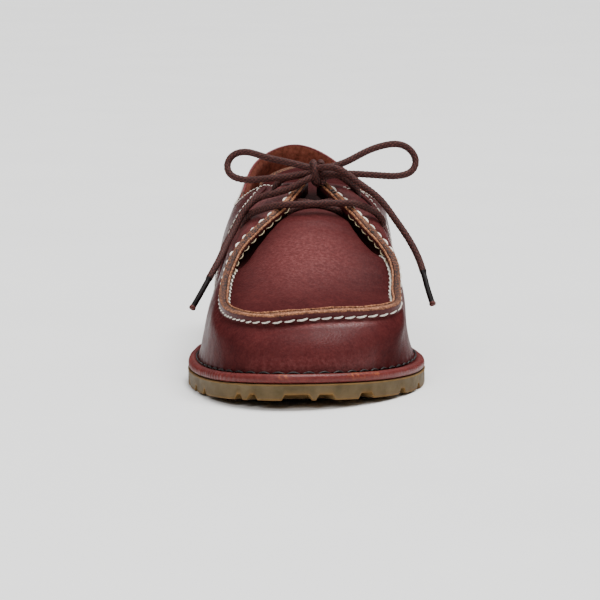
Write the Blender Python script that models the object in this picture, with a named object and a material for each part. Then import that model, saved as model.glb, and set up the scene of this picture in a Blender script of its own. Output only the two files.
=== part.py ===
"""Left lace-up shoe with a raised moccasin seam, a rolled welt and a lugged rubber sole.

Metres, +Z up. The toe points along -Y, the outer (lateral) side of the foot is +X, and the origin is
on the floor under the middle of the sole's box.
"""

import math

import bmesh
import bpy
import numpy as np

MM = 0.001

# Driving dimensions of the shoe, in millimetres
SOLE_LENGTH = 296.0
BALL_WIDTH = 109.0
SOLE_THICKNESS = 7.2
HEEL_LIFT = 14.0
TOE_SPRING = 4.5
LUG_DEPTH = 2.5
WELT_THICKNESS = 4.4
WALL_THICKNESS = 2.2
INSOLE_THICKNESS = 3.0
RIDGE_HEIGHT = 5.0
RIDGE_END_HEIGHT = 1.7
RIDGE_END_RUN = 0.05
RIDGE_WIDTH = 4.2
RIDGE_TILT = 22.0
LACE_DIAMETER = 3.0
EYELET_DIAMETER = 4.6
GAP = 0.3

# Where the sole's profile changes, in millimetres from the back of the heel
HEEL_BREAST = 80.0
BREAST_RUN = 5.0
FLAT_START = 178.0
FLAT_END = 212.0

# The sole's outline: loop runs from the heel (0) along the inner side to the toe (1) and back along
# the outer side to the heel (2); along is a share of the sole's length, across of half the ball width.
OUTLINE = (
    # place, loop, along, across
    ("heel back", 0.00, 0.000, 0.00),
    ("inner heel round", 0.09, 0.047, -0.50),
    ("inner heel", 0.20, 0.160, -0.69),
    ("inner waist", 0.38, 0.375, -0.64),
    ("inner joint", 0.52, 0.560, -0.83),
    ("inner ball", 0.66, 0.715, -0.98),
    ("inner toe", 0.79, 0.868, -0.85),
    ("inner toe round", 0.90, 0.960, -0.60),
    ("toe tip", 1.00, 1.000, -0.21),
    ("outer toe round", 1.11, 0.969, 0.33),
    ("outer toe", 1.22, 0.885, 0.74),
    ("outer ball", 1.39, 0.700, 1.01),
    ("outer joint", 1.50, 0.560, 0.90),
    ("outer waist", 1.63, 0.375, 0.78),
    ("outer heel", 1.80, 0.160, 0.69),
    ("outer heel round", 1.91, 0.047, 0.50),
)

# How far the welt stands out from the foot of the upper round the loop, in millimetres
WELT_REACH = (
    # place, loop, reach
    ("heel back", 0.00, 4.0),
    ("inner heel", 0.30, 3.6),
    ("inner waist", 0.45, 3.0),
    ("inner ball", 0.62, 2.8),
    ("inner toe", 0.76, 3.2),
    ("inner toe round", 0.88, 5.2),
    ("toe tip", 1.00, 5.8),
    ("outer toe", 1.22, 5.8),
    ("outer ball", 1.34, 5.4),
    ("outer joint", 1.44, 4.0),
    ("outer waist", 1.60, 3.6),
    ("outer heel", 1.80, 4.0),
)

# The collar's edge and the crest of the raised seam: across and along in millimetres from the back of
# the heel, height above the floor; lean is how far the upper's wall tips inward just below and flare
# how far it bulges outward at the welt, in degrees.
COLLAR = (
    # place, loop, across, along, height, lean, flare
    ("outer wing", -0.445, 22.0, 139.0, 83.0, 58.0, 4.0),
    ("outer quarter", -0.385, 37.5, 114.0, 73.5, 24.0, 9.0),
    ("outer ankle", -0.270, 35.0, 78.0, 75.5, 0.0, 4.0),
    ("outer heel", -0.110, 18.6, 27.0, 86.0, 9.0, 8.0),
    ("heel back", 0.000, 0.0, 12.0, 91.2, 15.0, 8.0),
    ("inner heel", 0.110, -18.0, 27.0, 86.0, 10.0, 8.0),
    ("inner ankle", 0.270, -27.0, 76.0, 75.5, 5.0, 11.0),
    ("inner quarter", 0.380, -26.5, 112.0, 75.0, 34.0, 20.0),
    ("inner wing", 0.445, -12.0, 138.0, 83.8, 62.0, 17.0),
)
CREST = (
    # place, loop, across, along, height, lean, flare
    ("inner throat corner", 0.470, 1.0, 151.0, 87.2, 84.0, 16.0),
    ("inner eyelets", 0.535, -9.2, 172.0, 77.0, 80.0, -2.0),
    ("inner throat", 0.590, -22.4, 190.0, 67.5, 54.0, -15.0),
    ("inner vamp", 0.660, -32.5, 210.0, 57.3, 39.0, -22.0),
    ("inner toe side", 0.740, -37.5, 235.0, 46.8, 38.0, -18.0),
    ("inner toe corner", 0.845, -35.2, 258.0, 40.5, 50.0, -6.0),
    ("inner toe front", 0.915, -25.6, 271.5, 39.2, 62.0, 3.0),
    ("toe tip", 1.000, -11.0, 275.5, 40.2, 66.0, 4.0),
    ("outer toe front", 1.135, 14.3, 266.0, 41.0, 62.0, 2.0),
    ("outer toe corner", 1.235, 36.0, 251.0, 40.4, 40.0, -8.0),
    ("outer toe side", 1.300, 41.5, 234.0, 44.8, 18.0, -15.0),
    ("outer vamp", 1.380, 40.0, 209.0, 57.1, 22.0, -20.0),
    ("outer throat", 1.440, 30.6, 188.0, 68.1, 52.0, -17.0),
    ("outer eyelets", 1.475, 23.6, 176.0, 74.8, 78.0, -4.0),
    ("outer throat corner", 1.530, 9.0, 152.0, 86.7, 84.0, 0.0),
)


def smooth_through(knots, values):
    """A function that runs through the values at the knots as one smooth (natural cubic) curve."""
    knots = np.array(knots, float)
    values = np.array(values, float).reshape(len(knots), -1)
    steps = np.diff(knots)
    slopes = np.diff(values, axis=0) / steps[:, None]
    system = np.eye(len(knots))
    right = np.zeros_like(values)
    for i in range(1, len(knots) - 1):
        system[i, i - 1:i + 2] = steps[i - 1], 2 * (steps[i - 1] + steps[i]), steps[i]
        right[i] = 6 * (slopes[i] - slopes[i - 1])
    bends = np.linalg.solve(system, right)

    def at(where):
        i = int(np.clip(np.searchsorted(knots, where) - 1, 0, len(steps) - 1))
        before, after = where - knots[i], knots[i + 1] - where
        curved = (bends[i] * after ** 3 + bends[i + 1] * before ** 3) / (6 * steps[i])
        start = values[i] / steps[i] - bends[i] * steps[i] / 6
        end = values[i + 1] / steps[i] - bends[i + 1] * steps[i] / 6
        return curved + start * after + end * before

    return at


def closed_through(table, period):
    """The same for a table whose first column is a place on a closed loop of that period."""
    rows = [[row[0] + turn * period, *row[1:]] for turn in (-1, 0, 1) for row in table]
    curve = smooth_through([row[0] for row in rows], [row[1:] for row in rows])
    return lambda where: curve(where % period)


def ease(value, start, end):
    """0 before start and 1 after end, with a smooth step between."""
    share = min(1.0, max(0.0, (value - start) / (end - start)))
    return share * share * (3 - 2 * share)


outline_curve = closed_through(
    [(loop, across * BALL_WIDTH / 2, along * SOLE_LENGTH) for _, loop, along, across in OUTLINE], 2.0)
welt_reach = closed_through([row[1:] for row in WELT_REACH], 2.0)
crest_curve = smooth_through([row[1] for row in CREST], [row[2:] for row in CREST])
THROAT_INNER = CREST[0][1]
THROAT_OUTER = CREST[-1][1]


def ridge_frame(loop):
    """The raised seam's crest with the ways up it and in across it, and the wall's lean and flare."""
    nudge = 0.002
    start = max(loop - nudge, THROAT_INNER)
    end = min(loop + nudge, THROAT_OUTER)
    run = crest_curve(end)[:3] - crest_curve(start)[:3]
    tilt = math.radians(RIDGE_TILT)
    up = np.array([0.0, math.sin(tilt), math.cos(tilt)])
    inward = np.cross(run, up)
    inward /= np.linalg.norm(inward)
    row = crest_curve(loop)
    return row[:3], up, inward, row[3:]


def ridge_foot(loop):
    """Where the upper's wall ends at the outer foot of the raised seam, with its lean and flare."""
    crest, up, inward, slants = ridge_frame(loop)
    full = ease(min(loop - THROAT_INNER, THROAT_OUTER - loop), 0.0, RIDGE_END_RUN)
    height = RIDGE_END_HEIGHT + (RIDGE_HEIGHT - RIDGE_END_HEIGHT) * full
    return np.array([*(crest - up * height - inward * RIDGE_WIDTH / 2), *slants])


collar_rows = [
    (THROAT_OUTER - 2, *ridge_foot(THROAT_OUTER)),
    *(row[1:] for row in COLLAR),
    (THROAT_INNER, *ridge_foot(THROAT_INNER)),
]
collar_curve = smooth_through([row[0] for row in collar_rows], [row[1:] for row in collar_rows])


def outline_point(loop, inset=0.0):
    """Across and along of the sole's outline, moved in from its edge by an inset."""
    nudge = 0.002
    here = outline_curve(loop)
    run = outline_curve(loop + nudge) - outline_curve(loop - nudge)
    run /= np.linalg.norm(run)
    inward = np.array([run[1], -run[0]])
    return here + inward * inset, inward


def sole_top(along):
    """Height of the rubber sole's upper face above the floor."""
    lift = HEEL_LIFT * (1 - ease(along, HEEL_BREAST - 10, FLAT_START))
    spring = TOE_SPRING * max(0.0, (along - FLAT_END) / (SOLE_LENGTH - FLAT_END)) ** 2
    return SOLE_THICKNESS + lift + spring


def placed(across, along, height):
    """A point given across, along and up in millimetres, in the shoe's frame in metres."""
    return np.array([(across - MID_ACROSS) * MM, (SOLE_LENGTH / 2 - along) * MM, height * MM])


EDGE = np.array([outline_curve(loop)[0] for loop in np.linspace(0, 2, 401)])
MID_ACROSS = (EDGE.min() + EDGE.max()) / 2


def on_ridge(loop):
    """Whether the upper's top edge is the raised seam there, and not the collar."""
    return THROAT_INNER <= loop % 2.0 <= THROAT_OUTER


def top_edge(loop):
    """Across, along, height, lean and flare of the upper's top edge at a place on the loop."""
    loop = loop % 2.0
    if on_ridge(loop):
        return ridge_foot(loop)
    return collar_curve(loop if loop < THROAT_INNER else loop - 2.0)


def wall_point(loop, share, out=0.0):
    """A point of the upper's outer face: share runs from the welt (0) to the top edge (1)."""
    (foot_across, foot_along), inward = outline_point(loop, welt_reach(loop)[0])
    foot = np.array([foot_across, foot_along, sole_top(foot_along) + WELT_THICKNESS + GAP])
    across, along, height, lean, flare = top_edge(loop)
    top = np.array([across, along, height])
    pull = WALL_FULLNESS * np.linalg.norm(top - foot)
    inward = np.array([*inward, 0.0])
    up = np.array([0.0, 0.0, 1.0])
    lean, flare = math.radians(lean), math.radians(flare)
    first = foot + pull * (up * math.cos(flare) - inward * math.sin(flare))
    second = top - pull * (up * math.cos(lean) + inward * math.sin(lean))
    rest = 1 - share
    point = (foot * rest ** 3 + 3 * first * share * rest ** 2
             + 3 * second * share ** 2 * rest + top * share ** 3)
    if out == 0.0:
        return point
    return point + wall_normal(loop, share) * out


def wall_normal(loop, share):
    """The way out of the upper's outer face."""
    step = 0.004
    low, high = max(0.0, share - step), min(1.0, share + step)
    rise = wall_point(loop, high) - wall_point(loop, low)
    before, after = (near if on_ridge(near) == on_ridge(loop) else loop
                     for near in (loop - step, loop + step))
    run = wall_point(after, share) - wall_point(before, share)
    normal = np.cross(rise, run)
    return normal / np.linalg.norm(normal)


# How the solids are cut into faces
COLLAR_STATIONS = 10
QUARTER_STATIONS = 7
WING_STATIONS = 6
SIDE_STATIONS = 12
TOE_STATIONS = 14
WALL_SHARES = (0.0, 0.12, 0.25, 0.40, 0.55, 0.70, 0.85, 1.0)
WALL_FULLNESS = 0.40
SOLE_STATIONS = 40
SOLE_COLUMNS = 5
WELT_STATIONS = 72

# Places on the loop where the collar begins to rise to the throat and where the toe piece meets the seam
COLLAR_RISE = 0.36
PLUG_BACK_INNER = 0.570
TOE_CORNER_INNER = 0.850
TOE_CORNER_OUTER = 1.235
PLUG_BACK_OUTER = 1.455
PLUG_CROWN = 10.0
PLUG_FULLNESS = 3.0
PLUG_BACK_REACH = 8.0
COLLAR_RIM = 0.8


for old in list(bpy.data.objects):
    bpy.data.objects.remove(old)
parts = bpy.data.collections.new("lace_up_shoe")
cutters = bpy.data.collections.new("cutters")
bpy.context.scene.collection.children.link(parts)
bpy.context.scene.collection.children.link(cutters)
cutters.hide_render = True


def finish(name, colour, roughness):
    """A plain material for one kind of surface."""
    material = bpy.data.materials.new(name)
    material.use_nodes = True
    shader = material.node_tree.nodes["Principled BSDF"]
    shader.inputs["Base Color"].default_value = (*colour, 1.0)
    shader.inputs["Roughness"].default_value = roughness
    return material


def add_solid(name, points, faces, material, collection=parts):
    """An object from points in the shoe's millimetres and the faces between them."""
    mesh = bpy.data.meshes.new(name)
    form = bmesh.new()
    corners = [form.verts.new(placed(*point)) for point in points]
    for face in faces:
        form.faces.new([corners[i] for i in face])
    bmesh.ops.recalc_face_normals(form, faces=form.faces)
    form.to_mesh(mesh)
    form.free()
    mesh.materials.append(material)
    solid = bpy.data.objects.new(name, mesh)
    collection.objects.link(solid)
    if collection is cutters:
        solid.display_type = "WIRE"
        solid.hide_render = True
    return solid


def ring_faces(stations, rows):
    """The faces of a closed ring of closed sections."""
    faces = []
    for i in range(stations):
        after = (i + 1) % stations
        for j in range(rows):
            above = (j + 1) % rows
            faces.append((i * rows + j, i * rows + above, after * rows + above, after * rows + j))
    return faces


def slab_faces(rows, columns):
    """The faces of a slab whose points are a grid of upper ones and then a grid of lower ones."""
    lower = rows * columns
    faces = []
    for i in range(rows - 1):
        for j in range(columns - 1):
            corner = i * columns + j
            quad = (corner, corner + 1, corner + columns + 1, corner + columns)
            faces.append(quad)
            faces.append(tuple(lower + k for k in reversed(quad)))
    rim = [j for j in range(columns)]
    rim += [i * columns + columns - 1 for i in range(1, rows)]
    rim += [(rows - 1) * columns + j for j in range(columns - 2, -1, -1)]
    rim += [i * columns for i in range(rows - 2, 0, -1)]
    for here, there in zip(rim, rim[1:] + rim[:1]):
        faces.append((there, here, lower + here, lower + there))
    return faces


def cut(solid, cutter):
    """Takes a cutter's shape out of a solid."""
    boolean = solid.modifiers.new(cutter.name, "BOOLEAN")
    boolean.operation = "DIFFERENCE"
    boolean.solver = "EXACT"
    boolean.use_self = True
    boolean.object = cutter


def loop_where(along, low, high):
    """The place on the loop, between two others, where the outline is that far from the heel."""
    for _ in range(40):
        middle = (low + high) / 2
        if outline_curve(middle)[1] < along:
            low = middle
        else:
            high = middle
    return low


def plate(inset, low, high):
    """Points and faces of a plate inside the outline, between two heights given along the shoe."""
    columns = SOLE_COLUMNS
    rows = [(k / SOLE_STATIONS, 2 - k / SOLE_STATIONS) for k in range(1, SOLE_STATIONS)]
    ends = 0.25 / SOLE_STATIONS
    rows += [(ends, 2 - ends), (1 - ends, 1 + ends)]
    rows += [(loop_where(along, 0.1, 0.6), loop_where(along, 1.9, 1.4))
             for along in (HEEL_BREAST, HEEL_BREAST + BREAST_RUN)]
    grid = []
    for inner_loop, outer_loop in sorted(rows):
        inner = outline_point(inner_loop, inset)[0]
        outer = outline_point(outer_loop, inset)[0]
        grid += [inner + (outer - inner) * k / (columns - 1) for k in range(columns)]
    points = [(*spot, high(spot[1])) for spot in grid] + [(*spot, low(spot[1])) for spot in grid]
    return points, slab_faces(len(rows), columns)


# Outsole: one moulded rubber piece with its heel, cut by notches between the lugs
def tread(along):
    """Height of the sole's lowest face."""
    bottom = sole_top(along) - SOLE_THICKNESS
    return bottom * ease(along, HEEL_BREAST, HEEL_BREAST + BREAST_RUN)


NOTCH_REACH = 13.0
NOTCH_CLEAR = 4.0
CUT_FLOOR = -5.0
NOTCHES = (
    # place, loop, width
    ("heel 1", 0.045, 4.0),
    ("heel 2", 0.100, 4.0),
    ("heel 3", 0.155, 4.0),
    ("heel 4", 0.210, 4.0),
    ("heel 5", 1.955, 4.0),
    ("heel 6", 1.900, 4.0),
    ("heel 7", 1.845, 4.0),
    ("heel 8", 1.790, 4.0),
    ("inner ball 1", 0.520, 4.0),
    ("inner ball 2", 0.580, 4.0),
    ("inner ball 3", 0.640, 4.0),
    ("inner ball 4", 0.700, 4.0),
    ("inner toe 1", 0.750, 4.0),
    ("inner toe 2", 0.795, 3.6),
    ("inner toe 3", 0.910, 3.4),
    ("inner toe 4", 0.941, 4.0),
    ("toe front 1", 1.023, 12.0),
    ("toe front 2", 1.070, 8.0),
    ("outer toe 1", 1.143, 8.0),
    ("outer toe 2", 1.235, 5.0),
    ("outer toe 3", 1.300, 4.0),
    ("outer ball 1", 1.360, 4.0),
    ("outer ball 2", 1.420, 4.0),
    ("outer ball 3", 1.480, 4.0),
)
CHANNELS = (22.0, 42.0, 62.0, 172.0, 188.0, 204.0, 220.0, 236.0, 252.0)
CHANNEL_WIDTH = 5.0
CHANNEL_HALF = 24.0
HEEL_CHANNEL_HALF = 18.0

gum = finish("olive rubber", (0.13, 0.10, 0.055), 0.6)
points, faces = plate(0.0, tread, sole_top)
outsole = add_solid("outsole", points, faces, gum)


def box(points, faces, middle, across, along, low, high):
    """Adds a box to points and faces: across and along are half-lengths as vectors on the floor."""
    first = len(points)
    for height in (low, high):
        for side, end in ((-1, -1), (1, -1), (1, 1), (-1, 1)):
            points.append((*(middle + across * side + along * end), height))
    quads = ((3, 2, 1, 0), (4, 5, 6, 7), (0, 1, 5, 4), (1, 2, 6, 5), (2, 3, 7, 6), (3, 0, 4, 7))
    faces += [tuple(first + k for k in quad) for quad in quads]


points, faces = [], []
for _, loop, width in NOTCHES:
    edge, inward = outline_point(loop)
    sideways = np.array([inward[1], -inward[0]])
    middle = edge + inward * NOTCH_REACH / 2
    height = tread(edge[1] + inward[1] * NOTCH_REACH / 2) + LUG_DEPTH
    box(points, faces, middle, sideways * width / 2, inward * (NOTCH_REACH / 2 + NOTCH_CLEAR),
        CUT_FLOOR, height)
for along in CHANNELS:
    centre = np.array([0.0, along])
    height = tread(along) + LUG_DEPTH
    reach = HEEL_CHANNEL_HALF if along < HEEL_BREAST else CHANNEL_HALF
    box(points, faces, centre, np.array([reach, 0.0]), np.array([0.0, CHANNEL_WIDTH / 2]),
        CUT_FLOOR, height)
cut(outsole, add_solid("tread_cutter", points, faces, gum, cutters))


# Welt: a rolled leather strip all round between sole and upper
WELT_SECTION = (
    # in from the sole's edge, above the sole
    (13.5, 0.0),
    (2.2, 0.0),
    (0.7, 0.6),
    (0.1, 1.8),
    (0.4, 3.1),
    (1.6, 4.0),
    (3.0, 4.0),
    (4.4, 3.1),
    (13.5, 3.1),
)
oxblood = finish("burgundy leather", (0.115, 0.021, 0.02), 0.35)
points = []
for k in range(WELT_STATIONS):
    loop = 2 * k / WELT_STATIONS
    for inset, above in WELT_SECTION:
        spot = outline_point(loop, inset)[0]
        points.append((*spot, sole_top(spot[1]) + GAP + above))
welt = add_solid("welt", points, ring_faces(WELT_STATIONS, len(WELT_SECTION)), oxblood)


# Insole: a leather-covered board that fills the welt's ring and lies on it inside the upper
INSOLE_CORE_INSET = 14.0
INSOLE_INSET = 9.1
canvas = finish("insole board", (0.10, 0.045, 0.03), 0.8)
core = plate(INSOLE_CORE_INSET, lambda along: sole_top(along) + GAP,
             lambda along: sole_top(along) + WELT_THICKNESS + 2 * GAP + INSOLE_THICKNESS / 2)
cover = plate(INSOLE_INSET, lambda along: sole_top(along) + WELT_THICKNESS + 2 * GAP,
              lambda along: sole_top(along) + WELT_THICKNESS + 2 * GAP + INSOLE_THICKNESS)
insole = add_solid("insole", *cover, canvas)
insole_core = add_solid("insole_core", *core, canvas, cutters)
join = insole.modifiers.new("core", "BOOLEAN")
join.operation = "UNION"
join.solver = "EXACT"
join.object = insole_core


# Upper: one hollow wall from welt to collar, with the raised seam and the toe piece inside it
def stretch(start, end, count):
    """Places on the loop from start up to, but not at, the end."""
    return [start + (end - start) * k / count for k in range(count)]


stations = (
    stretch(0.0, COLLAR_RISE, COLLAR_STATIONS)
    + stretch(COLLAR_RISE, THROAT_INNER, QUARTER_STATIONS)
    + stretch(THROAT_INNER, PLUG_BACK_INNER, WING_STATIONS)
    + stretch(PLUG_BACK_INNER, TOE_CORNER_INNER, SIDE_STATIONS)
    + stretch(TOE_CORNER_INNER, TOE_CORNER_OUTER, TOE_STATIONS)
    + stretch(TOE_CORNER_OUTER, PLUG_BACK_OUTER, SIDE_STATIONS)
    + stretch(PLUG_BACK_OUTER, THROAT_OUTER, WING_STATIONS)
    + stretch(THROAT_OUTER, 2 - COLLAR_RISE, QUARTER_STATIONS)
    + stretch(2 - COLLAR_RISE, 2.0, COLLAR_STATIONS)
)


def rim_points(loop):
    """The four points that take the upper's section over its top edge, from outside to inside."""
    if on_ridge(loop):
        crest, up, inward, _ = ridge_frame(loop)
        half, height, foot = RIDGE_WIDTH / 2, 0.0, RIDGE_HEIGHT
    else:
        nudge = 0.002
        edge = top_edge(loop)
        lean = math.radians(edge[3])
        sideways = np.array([*outline_point(loop)[1], 0.0])
        up = np.array([0.0, 0.0, math.cos(lean)]) + sideways * math.sin(lean)
        run = top_edge(loop + nudge)[:3] - top_edge(loop - nudge)[:3]
        inward = np.cross(run, up)
        inward /= np.linalg.norm(inward)
        crest = edge[:3] + inward * WALL_THICKNESS / 2
        half, height, foot = WALL_THICKNESS / 2, COLLAR_RIM, 0.0
    outside = crest + up * height - inward * half
    inside = crest + up * height + inward * half
    seat = crest - up * foot + inward * half
    return outside, inside, seat, seat - up * WALL_THICKNESS


points = []
for loop in stations:
    points += [wall_point(loop, share) for share in WALL_SHARES]
    points += rim_points(loop)
    points += [wall_point(loop, share, -WALL_THICKNESS) for share in reversed(WALL_SHARES[:-1])]
outer_rows = len(WALL_SHARES)
section = 2 * outer_rows + 3
seat_row = outer_rows + 2
under_row = outer_rows + 3
first_seam = COLLAR_STATIONS + QUARTER_STATIONS + WING_STATIONS
last_seam = first_seam + 2 * SIDE_STATIONS + TOE_STATIONS
faces = []
for face in ring_faces(len(stations), section):
    station, row = divmod(face[0], section)
    if not (row == seat_row and first_seam <= station < last_seam):
        faces.append(face)


def toe_piece(row, lift):
    """Rows of points from the toe piece's free back edge to the toe, inside the raised seam's foot."""
    seam = [station * section + row for station in range(first_seam, last_seam + 1)]
    left = seam[:SIDE_STATIONS + 1]
    front = seam[SIDE_STATIONS:SIDE_STATIONS + TOE_STATIONS + 1]
    right = seam[SIDE_STATIONS + TOE_STATIONS:][::-1]
    start, end = points[left[0]], points[right[0]]
    grid = []
    for i in range(SIDE_STATIONS + 1):
        ahead = i / SIDE_STATIONS
        line = []
        for j in range(TOE_STATIONS + 1):
            over = j / TOE_STATIONS
            if i == SIDE_STATIONS:
                line.append(front[j])
                continue
            if j in (0, TOE_STATIONS):
                line.append(left[i] if j == 0 else right[i])
                continue
            arch = 1 - (2 * over - 1) ** 2
            back = start + (end - start) * over + np.array([0.0, -PLUG_BACK_REACH, PLUG_CROWN]) * arch
            sides = points[left[i]] * (1 - over) + points[right[i]] * over
            ends = back * (1 - ahead) + points[front[j]] * ahead
            corners = ((start * (1 - over) + end * over) * (1 - ahead)
                       + (points[left[-1]] * (1 - over) + points[right[-1]] * over) * ahead)
            full = PLUG_FULLNESS * math.sin(math.pi * ahead) * arch + lift
            line.append(len(points))
            points.append(sides + ends - corners + np.array([0.0, 0.0, full]))
        grid.append(line)
    return grid


above = toe_piece(seat_row, 0.0)
below = toe_piece(under_row, 0.0)
for i in range(SIDE_STATIONS):
    for j in range(TOE_STATIONS):
        faces.append((above[i][j], above[i][j + 1], above[i + 1][j + 1], above[i + 1][j]))
        faces.append((below[i + 1][j], below[i + 1][j + 1], below[i][j + 1], below[i][j]))
for j in range(TOE_STATIONS):
    faces.append((above[0][j + 1], above[0][j], below[0][j], below[0][j + 1]))
upper = add_solid("upper", points, faces, oxblood)

EYELETS = (
    # place, loop, share of the wall's height
    ("inner lower", 0.497, 0.62),
    ("inner top", 0.458, 0.90),
    ("outer lower", 1.500, 0.68),
    ("outer top", 1.545, 0.90),
)
EYELET_SIDES = 16
EYELET_CUT = (-6.0, 4.0)
points, faces = [], []
for _, loop, share in EYELETS:
    centre = wall_point(loop, share)
    out = wall_normal(loop, share)
    side = np.cross(out, np.array([0.0, 0.0, 1.0]))
    side /= np.linalg.norm(side)
    other = np.cross(out, side)
    first = len(points)
    for depth in EYELET_CUT:
        for k in range(EYELET_SIDES):
            turn = 2 * math.pi * k / EYELET_SIDES
            spoke = side * math.cos(turn) + other * math.sin(turn)
            points.append(centre + out * depth + spoke * EYELET_DIAMETER / 2)
    near = list(range(first, first + EYELET_SIDES))
    far = [k + EYELET_SIDES for k in near]
    faces += [tuple(near), tuple(reversed(far))]
    for k in range(EYELET_SIDES):
        after = (k + 1) % EYELET_SIDES
        faces.append((near[k], far[k], far[after], near[after]))
cut(upper, add_solid("eyelet_cutter", points, faces, oxblood, cutters))


# Tongue: a leather flap under the laces, tucked in below the toe piece
TONGUE = (
    # place, along, height, half width, droop at its edges
    ("tip", 116.0, 91.0, 24.0, 15.0),
    ("collar", 134.0, 84.6, 26.0, 14.5),
    ("throat", 150.0, 77.6, 26.0, 9.5),
    ("laces", 170.0, 70.6, 24.0, 6.5),
    ("root", 190.0, 66.6, 21.0, 6.0),
)
TONGUE_MIDDLE = 4.0
TONGUE_THICKNESS = 2.0
TONGUE_ROWS = 12
TONGUE_COLUMNS = 11
TONGUE_ROUNDING = 0.25
TONGUE_ROUND_ROWS = 3
tongue_curve = smooth_through([row[1] for row in TONGUE], [row[2:] for row in TONGUE])
upper_side, lower_side = [], []
for i in range(TONGUE_ROWS):
    along = TONGUE[0][1] + (TONGUE[-1][1] - TONGUE[0][1]) * i / (TONGUE_ROWS - 1)
    height, half, droop = tongue_curve(along)
    for j in range(TONGUE_COLUMNS):
        over = 2 * j / (TONGUE_COLUMNS - 1) - 1
        rounded = half * (1 - TONGUE_ROUNDING * (1 - ease(i, 0, TONGUE_ROUND_ROWS)) * over ** 2)
        place = np.array([TONGUE_MIDDLE + over * rounded, along, height - droop * over ** 2])
        upper_side.append(place)
        lower_side.append(place - np.array([0.0, 0.0, TONGUE_THICKNESS]))
add_solid("tongue", upper_side + lower_side, slab_faces(TONGUE_ROWS, TONGUE_COLUMNS), oxblood)


# Heel quarter: the back panel from seam to seam, laid over the upper's wall
QUARTER_GAP = 0.6
QUARTER_THICKNESS = 1.3
QUARTER_LOW = 0.08
QUARTER_HIGH = 0.95
QUARTER_SEAM_LOW = 0.525
QUARTER_SEAM_HIGH = 0.415
QUARTER_ROWS = 7
QUARTER_COLUMNS = 41
near, far = [], []
for i in range(QUARTER_ROWS):
    up = i / (QUARTER_ROWS - 1)
    share = QUARTER_LOW + (QUARTER_HIGH - QUARTER_LOW) * up
    seam = QUARTER_SEAM_LOW + (QUARTER_SEAM_HIGH - QUARTER_SEAM_LOW) * up
    for j in range(QUARTER_COLUMNS):
        loop = seam * (1 - 2 * j / (QUARTER_COLUMNS - 1))
        far.append(wall_point(loop, share, QUARTER_GAP + QUARTER_THICKNESS))
        near.append(wall_point(loop, share, QUARTER_GAP))
add_solid("heel_quarter", far + near, slab_faces(QUARTER_ROWS, QUARTER_COLUMNS), oxblood)


# Laces: a round braided cord, tied in a bow
brown = finish("brown braided cord", (0.07, 0.035, 0.03), 0.8)
CORD_STEP = 4.5
STRAND_SIDES = 8


def along_route(route):
    """Points at even steps on a smooth curve through a route's own points."""
    route = np.array(route, float)
    lengths = np.concatenate([[0.0], np.cumsum(np.linalg.norm(np.diff(route, axis=0), axis=1))])
    curve = smooth_through(lengths, route)
    count = max(4, round(lengths[-1] / CORD_STEP))
    return [curve(lengths[-1] * k / count) for k in range(count + 1)]


def add_cord(name, route):
    """A round cord as a tube along a route."""
    line = bpy.data.curves.new(name, "CURVE")
    line.dimensions = "3D"
    line.bevel_depth = LACE_DIAMETER / 2 * MM
    line.bevel_resolution = 2
    line.use_fill_caps = True
    spots = along_route(route)
    spline = line.splines.new("POLY")
    spline.points.add(len(spots) - 1)
    for point, spot in zip(spline.points, spots):
        point.co = (*placed(*spot), 1.0)
    line.materials.append(brown)
    cord = bpy.data.objects.new(name, line)
    parts.objects.link(cord)
    return cord


def add_strand(name, route, collection):
    """The same tube as a mesh, for strands that are joined."""
    spots = along_route(route)
    sides = STRAND_SIDES
    points, faces = [], []
    for k, spot in enumerate(spots):
        run = spots[min(k + 1, len(spots) - 1)] - spots[max(k - 1, 0)]
        side = np.cross(run, np.array([0.0, 0.0, 1.0]))
        side /= np.linalg.norm(side)
        other = np.cross(side, run / np.linalg.norm(run))
        for j in range(sides):
            turn = 2 * math.pi * j / sides
            points.append(spot + (side * math.cos(turn) + other * math.sin(turn)) * LACE_DIAMETER / 2)
    for k in range(len(spots) - 1):
        for j in range(sides):
            after = (j + 1) % sides
            faces.append((k * sides + j, k * sides + after, (k + 1) * sides + after, (k + 1) * sides + j))
    faces.append(tuple(range(sides)))
    faces.append(tuple(range(len(points) - 1, len(points) - sides - 1, -1)))
    return add_solid(name, points, faces, brown, collection)


BAR = (
    # across, along, height
    (-30.8, 154.0, 66.7),
    (-25.5, 161.0, 71.6),
    (-18.6, 168.6, 75.2),
    (-12.6, 176.6, 77.8),
    (-6.9, 178.0, 78.6),
    (0.0, 178.0, 79.0),
    (6.6, 178.0, 79.4),
    (13.5, 177.0, 79.6),
    (19.8, 174.0, 80.0),
    (26.5, 167.5, 77.8),
    (33.6, 163.0, 73.3),
    (38.7, 161.0, 69.0),
)
CROSSING = (
    # across, along, height of the strand from the inner side
    (-4.5, 171.5, 74.2),
    (0.5, 172.0, 76.2),
    (5.5, 170.5, 77.2),
    (10.0, 167.5, 77.8),
    (13.5, 164.0, 78.0),
)
CROSSING_BACK = (
    # across, along, height of the strand from the outer side
    (-1.5, 163.5, 77.8),
    (2.0, 166.5, 77.9),
    (6.0, 170.0, 77.4),
    (11.0, 172.0, 76.2),
    (15.5, 170.8, 74.8),
)
RISER_INNER = (
    (-13.5, 143.0, 85.5),
    (-9.5, 144.5, 87.2),
    (-5.0, 147.5, 89.0),
    (-1.0, 150.5, 90.0),
    (1.7, 152.8, 89.8),
)
RISER_OUTER = (
    (24.2, 142.8, 83.1),
    (20.6, 144.5, 85.7),
    (16.5, 147.5, 88.3),
    (13.5, 150.5, 89.6),
    (12.2, 152.6, 89.7),
)
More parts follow.
